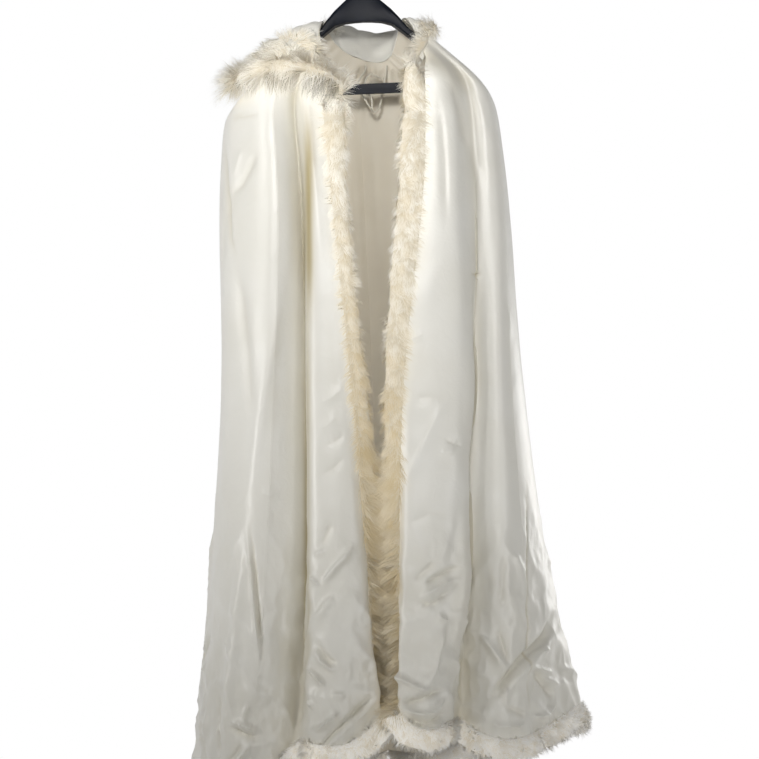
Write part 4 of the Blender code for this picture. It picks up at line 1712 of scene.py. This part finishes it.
    def cut(
        self, spine: list[np.ndarray], lean: np.ndarray, tone: np.ndarray, chance: np.random.Generator
    ) -> tuple[bpy.types.Object, np.ndarray]:
        """Makes the strands as flat blades that taper to their tips.

        Args:
            spine: The strands' middles at each station.
            lean: The core's directions at the roots.
            tone: How warm each strand's colour is at random, with painted shade added lower down.
            chance: The source of chance.

        Returns:
            The strands as one piece, and the direction in which each of their points is lit.
        """
        count = len(lean)
        run = unit(spine[-1] - spine[0], TINY)
        across = unit(np.cross(run, lean), TINY)
        turn = chance.uniform(-PILE.turn, PILE.turn, count)[:, None]
        across = across * np.cos(turn) + np.cross(run, across) * np.sin(turn)
        width = self.width_mm * chance.uniform(*PILE.strand_width, count)[:, None]
        rows = []
        for t, middle in zip(self.stations[:-1], spine[:-1]):
            half = across * width * (1 - t) ** PILE.taper / 2
            rows += [middle - half, middle + half]
        rows.append(spine[-1])
        step = len(rows)
        first = np.arange(count)[:, None] * step
        quads = np.concatenate([first + (k, k + 1, k + 3, k + 2) for k in range(0, step - 3, 2)])
        tips = first + (step - 3, step - 2, step - 1)
        name = self.node + "_strands"
        made = blades(name, np.stack(rows, axis=1).reshape(-1, 3), quads, tips)
        along = np.append(np.repeat(self.stations[:-1], 2), 1.0)
        # Painted shade towards the roots, lighter towards the tips.
        paint(made, "tip", np.tile(along, count))
        paint(made, "tone", np.repeat(tone, step))
        own = np.cross(across, run)
        own *= np.sign(dots(own, lean))[:, None] + TINY
        mixed = self.plush * lean + (1 - self.plush) * own
        return linked(name, made), np.repeat(self.lit(spine[0], mixed), step, axis=0)

    def clear_of(self, cloth: BVHTree, start: np.ndarray, end: np.ndarray) -> np.ndarray:
        """Tells which strands reach their tips without passing through the satin.

        Args:
            cloth: The satin.
            start: The strands' roots, in millimetres.
            end: The strands' tips.

        Returns:
            True for each strand that is clear.
        """
        clear = np.ones(len(start), bool)
        for number, (low, high) in enumerate(zip(start * MM, end * MM)):
            run = Vector(high - low)
            reach = run.length
            if reach < MM or cloth.ray_cast(Vector(low), run / reach, reach)[0] is not None:
                clear[number] = False
        return clear


def triangles_of(mesh: bpy.types.Mesh) -> tuple[np.ndarray, np.ndarray, np.ndarray]:
    """Reads a mesh as triangles.

    Args:
        mesh: The mesh to read.

    Returns:
        Its points in millimetres, their directions, and three point numbers a triangle.
    """
    mesh.calc_loop_triangles()
    corners = np.empty(len(mesh.loop_triangles) * 3, int)
    mesh.loop_triangles.foreach_get("vertices", corners)
    return read(mesh), read(mesh, "normal"), corners.reshape(-1, 3)


def blades(name: str, points: np.ndarray, quads: np.ndarray, tips: np.ndarray) -> bpy.types.Mesh:
    """Makes a mesh of many small blades.

    Args:
        name: The mesh's name.
        points: The points, in millimetres.
        quads: Four point numbers for each four-sided face.
        tips: Three point numbers for each tip.

    Returns:
        The mesh.
    """
    mesh = bpy.data.meshes.new(name)
    mesh.vertices.add(len(points))
    mesh.vertices.foreach_set("co", (points * MM).ravel())
    corners = np.concatenate([quads.ravel(), tips.ravel()])
    mesh.loops.add(len(corners))
    mesh.loops.foreach_set("vertex_index", corners)
    sizes = np.concatenate([np.full(len(quads), 4), np.full(len(tips), 3)])
    mesh.polygons.add(len(sizes))
    mesh.polygons.foreach_set("loop_start", np.concatenate(([0], np.cumsum(sizes)[:-1])))
    mesh.polygons.foreach_set("use_smooth", np.ones(len(sizes), bool))
    mesh.update(calc_edges=True)
    return mesh


def tube(name: str, points: np.ndarray, radius: float, fineness: int, closed: bool) -> bpy.types.Object:
    """Makes a round tube along a line.

    Args:
        name: The piece's name.
        points: The line's points, in millimetres.
        radius: The tube's radius, in millimetres.
        fineness: The curve's bevel resolution.
        closed: Whether the line runs round to its start. An open tube has caps.

    Returns:
        The tube, as a selected mesh.
    """
    curve = bpy.data.curves.new(name, "CURVE")
    curve.dimensions = "3D"
    curve.bevel_depth = radius * MM
    curve.bevel_resolution = fineness
    curve.use_fill_caps = not closed
    spline = curve.splines.new("POLY")
    spline.points.add(len(points) - 1)
    for target, point in zip(spline.points, points * MM):
        target.co = (*point, 1.0)
    spline.use_cyclic_u = closed
    piece = linked(name, curve)
    only(piece)
    bpy.ops.object.convert(target="MESH")
    return piece


@dataclass(frozen=True)
class NeckCord:
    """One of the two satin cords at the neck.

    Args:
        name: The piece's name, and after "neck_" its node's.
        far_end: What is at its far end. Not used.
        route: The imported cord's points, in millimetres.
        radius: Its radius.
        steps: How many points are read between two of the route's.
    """

    name: str
    far_end: str
    route: tuple[Place, ...]
    radius: float = 1.8
    steps: int = 4

    def smooth(self) -> np.ndarray:
        """Reads points from the smooth curve through the route's.

        Returns:
            The points, in millimetres.
        """
        knots = np.array(self.route, float)
        slopes = np.diff(knots, axis=0)
        inner = (slopes[:-1] + slopes[1:]) / 2
        tangents = np.concatenate([slopes[:1], inner, slopes[-1:]])
        points = []
        for k in range(len(slopes)):
            for t in np.arange(self.steps) / self.steps:
                points.append(
                    (2 * t**3 - 3 * t**2 + 1) * knots[k]
                    + (t**3 - 2 * t**2 + t) * tangents[k]
                    + (3 * t**2 - 2 * t**3) * knots[k + 1]
                    + (t**3 - t**2) * tangents[k + 1]
                )
        return np.array(points + [knots[-1]])

    def build(self, finishes: Finishes, on_it: tuple[bpy.types.Object, ...] = ()) -> None:
        """Args:
            finishes: The shared materials.
            on_it: The pieces that are tied on it. Not used.
        """
        points = self.smooth()
        piece = tube(self.name, points, self.radius, fineness=4, closed=False)
        dress(piece, finishes.cord, degrees=60)
        place(piece, "neck_" + self.name, "cord")


@dataclass(frozen=True)
class NeckKnot:
    """The knot, as one cord wound through itself.

    Args:
        middle: Its middle.
        size: Its radius.
        radius: The radius of the cord that it is tied in.
        pulled: How much thinner the cord is where it is pulled tight.
        turns: How many points the winding has.
    """

    middle: Place = (30.7, 41.1, -224.2)
    size: float = 4.6
    radius: float = 1.8
    pulled: float = 0.8
    turns: int = 90

    def build(self, finishes: Finishes) -> bpy.types.Object:
        """Ties the knot.

        Args:
            finishes: The shared materials.

        Returns:
            The knot.
        """
        angle = np.linspace(0, 2 * math.pi, self.turns, endpoint=False)
        reach = (self.size - self.radius) / 3.0
        path = np.column_stack(
            [
                np.sin(angle) + 2 * np.sin(2 * angle),
                np.sin(3 * angle) * 0.9,
                np.cos(angle) - 2 * np.cos(2 * angle),
            ]
        )
        path = path * reach + np.array(self.middle)
        piece = tube("neck_knot", path, self.radius * self.pulled, fineness=3, closed=True)
        bpy.ops.object.shade_smooth()
        piece.data.materials.append(finishes.cord)
        place(piece, "cord_knot", "cord")
        return piece


@dataclass(frozen=True)
class Hanger:
    """The moulded suit hanger: arms with a trouser bar, and a wire hook.

    Args:
        edge_mm: How wide the moulded edges are rounded.
        crease_degrees: Edges sharper than this are rounded.
    """

    edge_mm: float = 0.8
    crease_degrees: float = 35.0

    def build(self, finishes: Finishes) -> None:
        """Softens the arms' moulded edges and dresses the hook.

        Args:
            finishes: The shared materials.
        """
        piece = copy_of("hanger_body", "moulded_arms")
        apply(
            piece,
            "BEVEL",
            width=self.edge_mm * MM,
            segments=3,
            limit_method="ANGLE",
            angle_limit=math.radians(self.crease_degrees),
            harden_normals=False,
        )
        dress(piece, finishes.plastic, degrees=40)
        place(piece, "hanger_body", "black plastic")
        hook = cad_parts["hanger_hook"]
        hook.data.materials.clear()
        hook.data.materials.append(finishes.steel)
        LOG.info("hanger_hook: the packed wire in its steel finish")


@dataclass(frozen=True)
class Lamp:
    """A large soft round light on a stand.

    Args:
        name: Its name.
        stand: Where it stands, in metres.
        aim: The point that it is turned to.
        size: Its diameter, in metres.
        watts: Its power.
        spread_degrees: How wide its light spreads.
        tint: Its colour.
    """

    name: str
    stand: Place
    aim: Place
    size: float
    watts: float
    spread_degrees: float = 120.0
    tint: Place = (1.0, 0.992, 0.97)

    def hang(self) -> None:
        """Adds the light and turns it to what it is aimed at."""
        data = bpy.data.lights.new(self.name, "AREA")
        data.shape = "DISK"
        data.size = self.size
        data.energy = self.watts
        data.spread = math.radians(self.spread_degrees)
        data.color = self.tint
        light = linked(self.name, data)
        light.location = self.stand
        run = Vector(self.aim) - Vector(self.stand)
        light.rotation_euler = run.to_track_quat("-Z", "Y").to_euler()


@dataclass(frozen=True)
class Studio:
    """A plain pale floor, soft studio light and the camera, placed in metres.

    Args:
        camera_place: Where the camera stands.
        pixel_mm: What one pixel of the photograph shows of the cape.
        frame_pixels: The photograph's width.
        roll_degrees: How far the camera is rolled.
        sensor_mm: The width of the camera's sensor.
        floor_z: The floor's height.
        floor_size: The floor's width.
        lamps: The lights.
        glows: The room's own light, by axis: where it starts, where it is full, and its strength.
        room_shown: How bright the room looks away from the backdrop.
        backdrop: How bright the backdrop looks.
    """

    camera_place: Place = (0.0037, -2.6, -0.789)
    pixel_mm: float = 1.85
    frame_pixels: int = 759
    roll_degrees: float = -2.3
    sensor_mm: float = 36.0
    floor_z: float = -1.9
    floor_size: float = 2.4
    lamps: tuple[Lamp, ...] = (
        Lamp("front_high", (-0.22, -2.3, 0.0), (0.0, 0.0, -0.35), 0.5, 2.4),
        Lamp("front_low", (0.0, -2.4, -0.6), (0.0, 0.0, -0.7), 0.5, 0.95),
        Lamp("front_beam", (-0.2, -2.3, 0.25), (0.0, 0.0, -0.25), 0.4, 1.6, 50.0),
        Lamp("left_high", (-1.5, -1.3, 0.2), (0.0, 0.0, -0.4), 0.3, 3.6),
        Lamp("left_low", (-1.8, -1.0, -0.8), (0.0, 0.0, -0.9), 0.35, 3.6),
        Lamp("right_front", (1.3, -1.7, -1.0), (0.0, 0.0, -0.9), 0.35, 1.9),
        Lamp("right_foot", (0.9, -2.0, -1.7), (0.3, 0.0, -1.5), 0.6, 0.45, 50.0),
        Lamp("right_rim", (1.4, 1.0, -1.0), (0.0, 0.0, -1.0), 0.8, 3.0),
    )
    glows: tuple[tuple[str, float, float, float], ...] = (
        ("Y", -0.2, 0.8, 0.66),
        ("Z", 0.2, -0.8, 0.55),
        ("X", -0.2, 0.8, 0.08),
    )
    room_shown: float = 0.72
    backdrop: float = 1.0

    def camera(self) -> None:
        """Sets the camera at the photograph's viewing angle."""
        data = bpy.data.cameras.new("camera")
        data.sensor_width = self.sensor_mm
        width = self.pixel_mm * MM * self.frame_pixels
        data.lens = self.sensor_mm * -self.camera_place[1] / width
        camera = linked("camera", data)
        camera.location = self.camera_place
        roll = Matrix.Rotation(math.radians(self.roll_degrees), 3, "Z")
        level = Matrix.Rotation(math.radians(90), 3, "X")
        camera.rotation_euler = (level @ roll).to_euler()
        bpy.context.scene.camera = camera

    def build(self) -> None:
        """Lays the floor and sets the lights."""
        bpy.ops.object.select_all(action="DESELECT")
        bpy.ops.mesh.primitive_plane_add(size=self.floor_size, location=(0, 0, self.floor_z))
        floor = bpy.context.active_object
        floor.name = "studio_floor"
        material, tree = new_material("pale painted floor")
        close_material(tree, {"Base Color": linear("#F4F3F0"), "Roughness": 0.8})
        floor.data.materials.append(material)
        for lamp in self.lamps:
            lamp.hang()
        self.world()
        bpy.context.scene.view_settings.view_transform = "Standard"

    def world(self) -> None:
        """Fills the room with soft white light, before a white backdrop."""
        world = bpy.data.worlds.new("studio")
        world.use_nodes = True
        tree = world.node_tree
        tree.nodes.clear()
        way = add_node(tree, "ShaderNodeTexCoord").outputs["Generated"]
        split = add_node(tree, "ShaderNodeSeparateXYZ", links={"Vector": way})
        shown = add_node(
            tree,
            "ShaderNodeMapRange",
            {"From Min": -0.2, "From Max": 0.6, "To Min": self.room_shown, "To Max": self.backdrop},
            {"Value": split.outputs["Y"]},
        )
        total = None
        for axis, start, end, most in self.glows:
            part = add_node(
                tree,
                "ShaderNodeMapRange",
                {"From Min": start, "From Max": end, "To Max": most},
                {"Value": split.outputs[axis]},
                interpolation_type="SMOOTHSTEP",
            )
            if total:
                part = add_node(tree, "ShaderNodeMath", links={0: total, 1: part}, operation="ADD")
            total = part
        ray = add_node(tree, "ShaderNodeLightPath").outputs["Is Camera Ray"]
        strength = add_node(tree, "ShaderNodeMix", links={0: ray, 2: total, 3: shown})
        light = add_node(
            tree, "ShaderNodeBackground", {"Color": (1.0, 1.0, 1.0, 1.0)}, {"Strength": strength}
        )
        add_node(tree, "ShaderNodeOutputWorld", links={"Surface": light})
        bpy.context.scene.world = world


def satin_under() -> BVHTree:
    """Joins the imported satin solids, for the pile to lie over.

    Returns:
        Their faces as one tree, in metres.
    """
    points, faces = [], []
    for node in ("front_right", "front_left", "back_right", "back_left"):
        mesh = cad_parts[node].data
        before = len(points)
        points += [v.co.copy() for v in mesh.vertices]
        faces += [tuple(before + v for v in p.vertices) for p in mesh.polygons]
    return BVHTree.FromPolygons(points, faces)


LEFT_FRONT_STRIP = drawn(
    Facing.FRONT,
    (((-134, -1129), (-125, -1135), (-115, -1147)), 2.4, 3, 5),
    (((-115, -1147), (-90, -1116), (-67, -1093), (-52, -1075)), 3.0, 3.5, 7),
    (((-124, -1091), (-105, -1086)), 1.6, 3, 5),
    (((-113, -1081), (-102, -1059), (-90, -1034)), -2.0, 5, 8),
    (((-130, -1210), (-111, -1186), (-91, -1159)), 2.4, 6, 9),
    (((-125, -1238), (-114, -1262), (-101, -1275), (-85, -1277)), -2.2, 4, 7),
    (((-128, -1252), (-118, -1276), (-102, -1288), (-83, -1288)), 2.0, 4, 6),
    (((-143, -1284), (-128, -1299), (-111, -1321)), 2.8, 3, 6),
    (((-106, -1332), (-75, -1334)), 1.3, 4, 6),
    (((-145, -1348), (-133, -1353)), 1.8, 3, 4),
    (((-141, -1397), (-121, -1387), (-104, -1373), (-87, -1361)), 3.0, 3, 6),
    (((-154, -1434), (-123, -1420), (-98, -1395), (-73, -1372), (-47, -1355), (-23, -1338)), -2.8, 4, 9),
    (((-134, -1431), (-102, -1407), (-70, -1381), (-42, -1363), (-18, -1340)), 2.6, 5, 8),
    (((-120, -1443), (-81, -1421), (-49, -1397), (-18, -1364)), -1.6, 5, 8),
    (((-113, -831), (-87, -819), (-55, -798)), 1.1, 3, 5),
    (((-111, -875), (-93, -866), (-74, -850)), 1.1, 3, 5),
    (((-99, -902), (-78, -894), (-58, -882)), -1.2, 3, 5),
    (((-111, -956), (-85, -942), (-57, -918)), -1.0, 4, 6),
)

RIGHT_FRONT = drawn(
    Facing.FRONT,
    (((48, -1143), (69, -1126), (90, -1111)), -2.0, 5, 7),
    (((63, -1150), (100, -1133), (131, -1122)), -2.6, 4, 5),
    (((56, -1173), (80, -1161), (104, -1149), (125, -1142)), 3.2, 4, 6),
    (((51, -1184), (82, -1181), (100, -1171), (117, -1161)), -2.4, 4, 5),
    (((86, -1202), (96, -1210), (107, -1215)), 1.9, 3, 4),
    (((105, -1214), (91, -1261), (80, -1296), (67, -1332)), 1.7, 3, 9),
    (((6, -1299), (27, -1311), (48, -1322), (71, -1332)), 2.8, 4, 6),
    (((9, -1344), (29, -1346), (50, -1343), (75, -1335), (98, -1328)), -2.8, 4, 5),
    (((15, -1354), (36, -1363), (55, -1368), (80, -1363), (100, -1343)), 2.7, 4, 5),
    (((16, -1369), (35, -1378), (54, -1384), (79, -1379), (103, -1369)), -2.6, 4, 5),
    (((24, -1382), (49, -1389), (73, -1393), (102, -1394)), 2.2, 4, 6),
    (((3, -1382), (11, -1396), (24, -1408), (53, -1417)), 1.9, 4, 5),
    (((58, -720), (71, -715), (86, -712)), 1.0, 3, 5),
    (((103, -923), (119, -922), (135, -920)), 1.5, 3, 4),
    (((113, -898), (130, -906), (148, -914)), -1.3, 3, 4),
    (((40, -980), (64, -928), (92, -875), (119, -831)), 1.6, 5, 14),
    (((56, -825), (94, -823), (133, -830)), -0.8, 4, 6),
    (((43, -1045), (76, -1030), (117, -1025)), -1.0, 5, 8),
)

RIGHT_SKIRT = drawn(
    Facing.FRONT,
    (
        (
            (165, -1372), (187, -1346), (213, -1318), (229, -1300), (247, -1288), (265, -1276),
            (282, -1264), (293, -1246), (307, -1222),
        ),
        -3.6, 3.5, 9,
    ),
    (
        ((175, -1383), (200, -1355), (223, -1327), (251, -1303), (277, -1286), (298, -1267), (313, -1242)),
        2.8, 5, 10,
    ),
    (((161, -1239), (173, -1258), (184, -1273), (199, -1295), (211, -1314)), 2.2, 5, 9),
    (((195, -1237), (205, -1274), (214, -1307)), -2.2, 5, 7),
    (((249, -1310), (274, -1322), (300, -1335)), 2.4, 3, 6),
    (((260, -1320), (282, -1351), (300, -1383)), -2.4, 5, 7),
    (((260, -1291), (277, -1288), (293, -1292)), 1.5, 3, 4),
    (((248, -1397), (263, -1403), (276, -1406), (289, -1399), (304, -1388)), 2.0, 4, 5),
    (((203, -1377), (220, -1385), (243, -1397)), -1.9, 4, 6),
    (((174, -1406), (207, -1411), (245, -1412)), 2.0, 4, 6),
    (((201, -1335), (207, -1359), (204, -1379)), 1.6, 4, 6),
    (((275, -1338), (294, -1348), (312, -1365)), 1.6, 4, 6),
    (((266, -937), (256, -1127), (249, -1272), (244, -1413)), -0.7, 1.6, 1.6, 0.35),
    (((214, -1103), (208, -1152), (202, -1208)), -1.6, 5, 9),
    (((232, -1108), (242, -1126), (252, -1149)), 1.3, 4, 7),
    (((170, -605), (183, -607), (197, -604)), -1.4, 3, 4, 0.2),
    (((237, -654), (243, -687), (245, -723)), 1.0, 4, 6),
)

LEFT_SIDE = drawn(
    Facing.FRONT,
    (((-237, -1032), (-230, -1127), (-225, -1213), (-221, -1288)), -1.5, 2.5, 6, 0.2),
    (((-244, -1032), (-238, -1117), (-234, -1203), (-230, -1282)), 1.8, 5, 3),
    (((-248, -1053), (-264, -1180), (-279, -1298), (-293, -1389), (-303, -1465)), 2.6, 9, 13),
    (((-307, -1337), (-306, -1401), (-305, -1465)), -1.6, 3, 4),
    (((-288, -1393), (-268, -1400), (-252, -1407), (-236, -1412)), -3.0, 3, 6),
    (((-282, -1382), (-260, -1388), (-237, -1402)), 2.3, 5, 4),
    (((-245, -1416), (-262, -1436), (-281, -1457), (-297, -1478)), 2.4, 4, 7),
    (((-265, -1419), (-277, -1439), (-294, -1458)), -2.2, 4, 6),
    (((-353, -1390), (-344, -1423), (-333, -1469)), -1.7, 4, 5),
    (((-343, -1296), (-337, -1305), (-331, -1320)), 1.4, 3, 4),
    (((-181, -1426), (-190, -1448), (-200, -1469)), -1.4, 5, 7),
    (((-220, -1430), (-212, -1452), (-202, -1474)), 1.5, 5, 7),
    (((-263, -331), (-260, -384), (-258, -437), (-255, -524), (-243, -565)), -1.8, 2.5, 6, 0.15),
    (((-251, -301), (-222, -304), (-191, -304)), -0.9, 2.5, 3, 0.1),
    (((-201, -372), (-215, -402), (-231, -427), (-252, -446)), -2.2, 7, 9),
    (((-228, -361), (-238, -388), (-247, -415)), 1.2, 5, 8),
    (((-249, -565), (-239, -631), (-232, -726), (-229, -853)), -2.0, 9, 12),
    (((-163, -601), (-185, -722), (-204, -809), (-240, -1026)), 2.2, 9, 12),
    (((-187, -751), (-172, -749), (-158, -752)), 0.9, 3, 5),
    (((-218, -980), (-204, -986), (-187, -985)), 0.9, 3, 5),
    (((-249, -1349), (-258, -1370), (-260, -1386)), 1.4, 4, 6),
)

# The first row raises nothing: it is painted shade on the right shoulder, which faces away from the light.
UPPER_RIGHT = drawn(
    Facing.FRONT,
    (((96, -190), (128, -212), (166, -240), (196, -275)), 0.0, 16, 26, 0.28),
    (((148, -249), (162, -282), (173, -319), (178, -378)), -2.4, 7, 12),
    (((190, -265), (206, -306), (215, -361)), 1.6, 8, 12),
    (((127, -284), (134, -339), (136, -412), (134, -522)), -1.0, 6, 10),
)

# The two left rows raise nothing: they are painted shade in the deep left fold. The right rows fill the right
# fold up and take a little painted shade.
VALLEYS = drawn(
    Facing.FRONT,
    (((-112, -272), (-106, -330), (-106, -390), (-113, -520), (-119, -690)), 0.0, 10, 10, 1.0),
    (
        ((-118, -600), (-122, -694), (-132, -926), (-142, -1176), (-150, -1329), (-156, -1415)),
        0.0, 7, 6, 0.6,
    ),
    (((178, -380), (187, -440), (186, -520), (181, -620), (176, -700)), 5.5, 15, 14, 0.12),
    (
        ((177, -640), (171, -771), (166, -938), (145, -1075), (128, -1176), (118, -1298), (110, -1357)),
        8.0, 10, 11, 0.15,
    ),
)

BACK = drawn(
    Facing.BACK,
    (((-140, -290), (-100, -340), (-55, -370)), 1.2, 7.2, 10.8),
    (((150, -310), (112, -352), (70, -380)), 1.0, 7.2, 9.6),
    (((-190, -400), (-150, -455), (-120, -530)), -1.2, 8.4, 13.2),
    (((175, -420), (150, -480), (138, -560)), -1.0, 7.2, 12.0),
    (((-30, -520), (-38, -640), (-34, -760)), -0.8, 9.6, 14.4),
    (((110, -600), (120, -700), (118, -820)), 0.8, 9.6, 14.4),
    (((-90, -600), (-98, -800), (-110, -1010), (-118, -1200)), 1.4, 12.0, 16.8),
    (((60, -650), (72, -860), (90, -1090), (104, -1260)), 1.3, 12.0, 15.6),
    (((-210, -700), (-222, -900), (-236, -1120)), -1.2, 9.6, 14.4),
    (((200, -740), (216, -950), (232, -1150)), -1.1, 9.6, 14.4),
    (((-60, -880), (-20, -900), (30, -892)), 0.6, 4.8, 8.4),
    (((20, -980), (58, -1000), (96, -990)), -0.7, 4.8, 7.2),
    (((-180, -1240), (-140, -1290), (-95, -1320)), 1.6, 4.8, 9.6),
    (((-120, -1340), (-70, -1372), (-15, -1380)), -1.4, 4.8, 9.6),
    (((30, -1230), (72, -1275), (110, -1330)), 1.7, 6.0, 9.6),
    (((90, -1390), (140, -1420), (195, -1428)), 1.3, 4.8, 8.4),
    (((-230, -1330), (-215, -1350), (-190, -1362)), 1.0, 3.6, 6.0),
    (((160, -1300), (178, -1322), (205, -1330)), -1.1, 3.6, 6.0),
    (((-160, -1445), (-110, -1430), (-60, -1440)), 1.2, 4.8, 8.4),
    (((10, -1440), (55, -1425), (100, -1445)), -1.2, 4.8, 8.4),
    (((-20, -1330), (5, -1380), (12, -1425)), 1.1, 6.0, 9.6),
)

SIDE_RIGHT = drawn(
    Facing.WEARER_RIGHT,
    (((-60, -420), (-30, -500), (-12, -600)), -1.1, 8.4, 12.0),
    (((60, -560), (72, -760), (80, -980)), 1.3, 10.8, 14.4),
    (((80, -340), (100, -400), (104, -470)), 0.9, 7.2, 10.8),
    (((0, -1050), (20, -1120), (52, -1180)), 1.4, 6.0, 9.6),
    (((-40, -1230), (0, -1280), (50, -1300)), -1.4, 4.8, 9.6),
    (((20, -1360), (62, -1392), (110, -1400)), 1.4, 4.8, 8.4),
    (((-70, -1380), (-50, -1420), (-20, -1450)), 1.1, 4.8, 7.2),
    (((110, -1250), (100, -1310), (104, -1370)), -1.1, 6.0, 9.6),
)

SIDE_LEFT = drawn(
    Facing.WEARER_LEFT,
    (((90, -380), (70, -470), (40, -560)), -1.1, 7.2, 12.0),
    (((20, -640), (34, -800), (36, -960)), 1.3, 9.6, 14.4),
    (((100, -700), (112, -880), (120, -1060)), -1.1, 9.6, 13.2),
    (((60, -1080), (34, -1130), (-6, -1160)), 1.3, 6.0, 9.6),
    (((110, -1220), (66, -1262), (14, -1270)), -1.4, 4.8, 9.6),
    (((-30, -1330), (20, -1345), (64, -1380)), 1.5, 4.8, 8.4),
    (((96, -1340), (110, -1372), (112, -1410)), 1.0, 4.8, 7.2),
)

INSIDE = drawn(
    Facing.FRONT,
    (((29, -264), (-20, -306), (-40, -322), (-62, -334)), 3.4, 3, 10),
    (((-50, -270), (-34, -300), (-26, -330)), 2.0, 4, 8),
    (((-14, -350), (-18, -480), (-15, -620)), 2.6, 6, 12),
    (((12, -300), (10, -430), (13, -600)), 2.0, 6, 9),
    (((-36, -360), (-40, -470), (-34, -560)), 2.2, 5, 9),
)

CREASES = (
    *LEFT_FRONT_STRIP,
    *RIGHT_FRONT,
    *RIGHT_SKIRT,
    *LEFT_SIDE,
    *UPPER_RIGHT,
    *VALLEYS,
    *BACK,
    *SIDE_RIGHT,
    *SIDE_LEFT,
)


LONG_CORD = NeckCord(
    "cord_long",
    far_end="object",
    route=(
        (1, 50.5, -196),
        (0, 44, -208),
        (-6, 38, -217),
        (-13, 30, -230),
        (-12, 25, -248),
        (-3, 24, -264),
        (6, 25, -280),
        (14, 27, -289),
        (22, 29, -283),
        (28, 31, -266),
        (31, 33, -248),
        (36, 37, -228),
        (40, 44, -209),
        (41, 49.5, -199),
    ),
)
SHORT_CORD = NeckCord(
    "cord_short",
    far_end="bare",
    route=(
        (27, 38, -223),
        (21, 33, -221),
        (11, 27, -218),
        (2, 20, -226),
        (-1, 15, -240),
        (5, 13, -256),
        (10, 14, -268),
        (10, 16, -286),
    ),
)
PANELS = (
    ClothPanel("front_right", (0.40, 1.37), 0.259),
    ClothPanel("front_left", (0.42, 1.37), 0.303),
    ClothPanel("back_right", (0.76, 1.46), 0.736),
    ClothPanel("back_left", (0.71, 1.38), 0.592),
)
LININGS = (
    BackLining("lining_right", (0.54, 1.46), 0.509, folds=INSIDE),
    BackLining("lining_left", (0.55, 1.36), 0.493, folds=INSIDE),
)
HOODS = (
    HoodHalf("hood_right", (0.54, 0.37), 0.099),
    HoodHalf("hood_left", (0.38, 0.30), 0.066),
)

BANDS = (
    FurBand(
        "fur_hood",
        strands=24000,
        pile_mm=28.0,
        lift=0.5,
        comb=Comb.AROUND_FACE,
        tuft_mm=16.0,
        sink_mm=10.0,
        seed=31,
        width_mm=1.0,
        draw=0.45,
        stations=(0.0, 0.36, 0.72, 1.0),
        tail=0.5,
        curl=1.1,
        spills=(("hood_right", 75.0), ("hood_left", 75.0), ("front_right", 32.0)),
        spill_box=((-250, -150, -264), (-52, 170, -95)),
    ),
    *(
        FurBand(
            node,
            strands=23000,
            pile_mm=18.0,
            lift=0.42,
            comb=Comb.DOWN,
            tuft_mm=15.0,
            sink_mm=4.0,
            seed=seed,
            width_mm=1.1,
            draw=0.45,
            flare_mm=26.0,
            shade_from=shade_from,
            shade_most=shade_most,
            inward=inward,
        )
        for node, seed, shade_from, shade_most, inward in (
            ("fur_front_right", 32, 420.0, 0.55, 0.9),
            ("fur_front_left", 33, 520.0, 0.5, -0.9),
        )
    ),
    *(
        FurBand(
            node,
            strands=strands,
            pile_mm=13.0,
            lift=0.55,
            comb=Comb.OUT,
            tuft_mm=9.0,
            sink_mm=3.0,
            seed=seed,
            glow=0.9,
            ground=0.5,
            lap=0.45,
        )
        for node, strands, seed in (
            ("fur_hem_front_right", 12000, 34),
            ("fur_hem_back_right", 15500, 35),
            ("fur_hem_back_left", 15000, 36),
            ("fur_hem_front_left", 12000, 37),
        )
    ),
)


def main() -> None:
    """Builds the cape, its hanger and the studio around them."""
    logging.basicConfig(level=logging.INFO, format="%(name)s: %(message)s")
    studio = Studio()
    studio.camera()
    finishes = Finishes.make()
    knot = NeckKnot().build(finishes)
    LONG_CORD.build(finishes, on_it=(knot,))
    SHORT_CORD.build(finishes)
    Hanger().build(finishes)
    sheets = [panel.lay(CREASES) for panel in PANELS]
    seams, leans = seam_directions(sheets)
    for panel, sheet in zip(PANELS, sheets):
        panel.finish(sheet, finishes, CREASES, seams, leans)
    for piece in (*LININGS, *HOODS):
        piece.build(finishes)
    cloth = satin_under()
    for band in BANDS:
        band.build(finishes, cloth)
    studio.build()


if __name__ == "__main__":
    main()
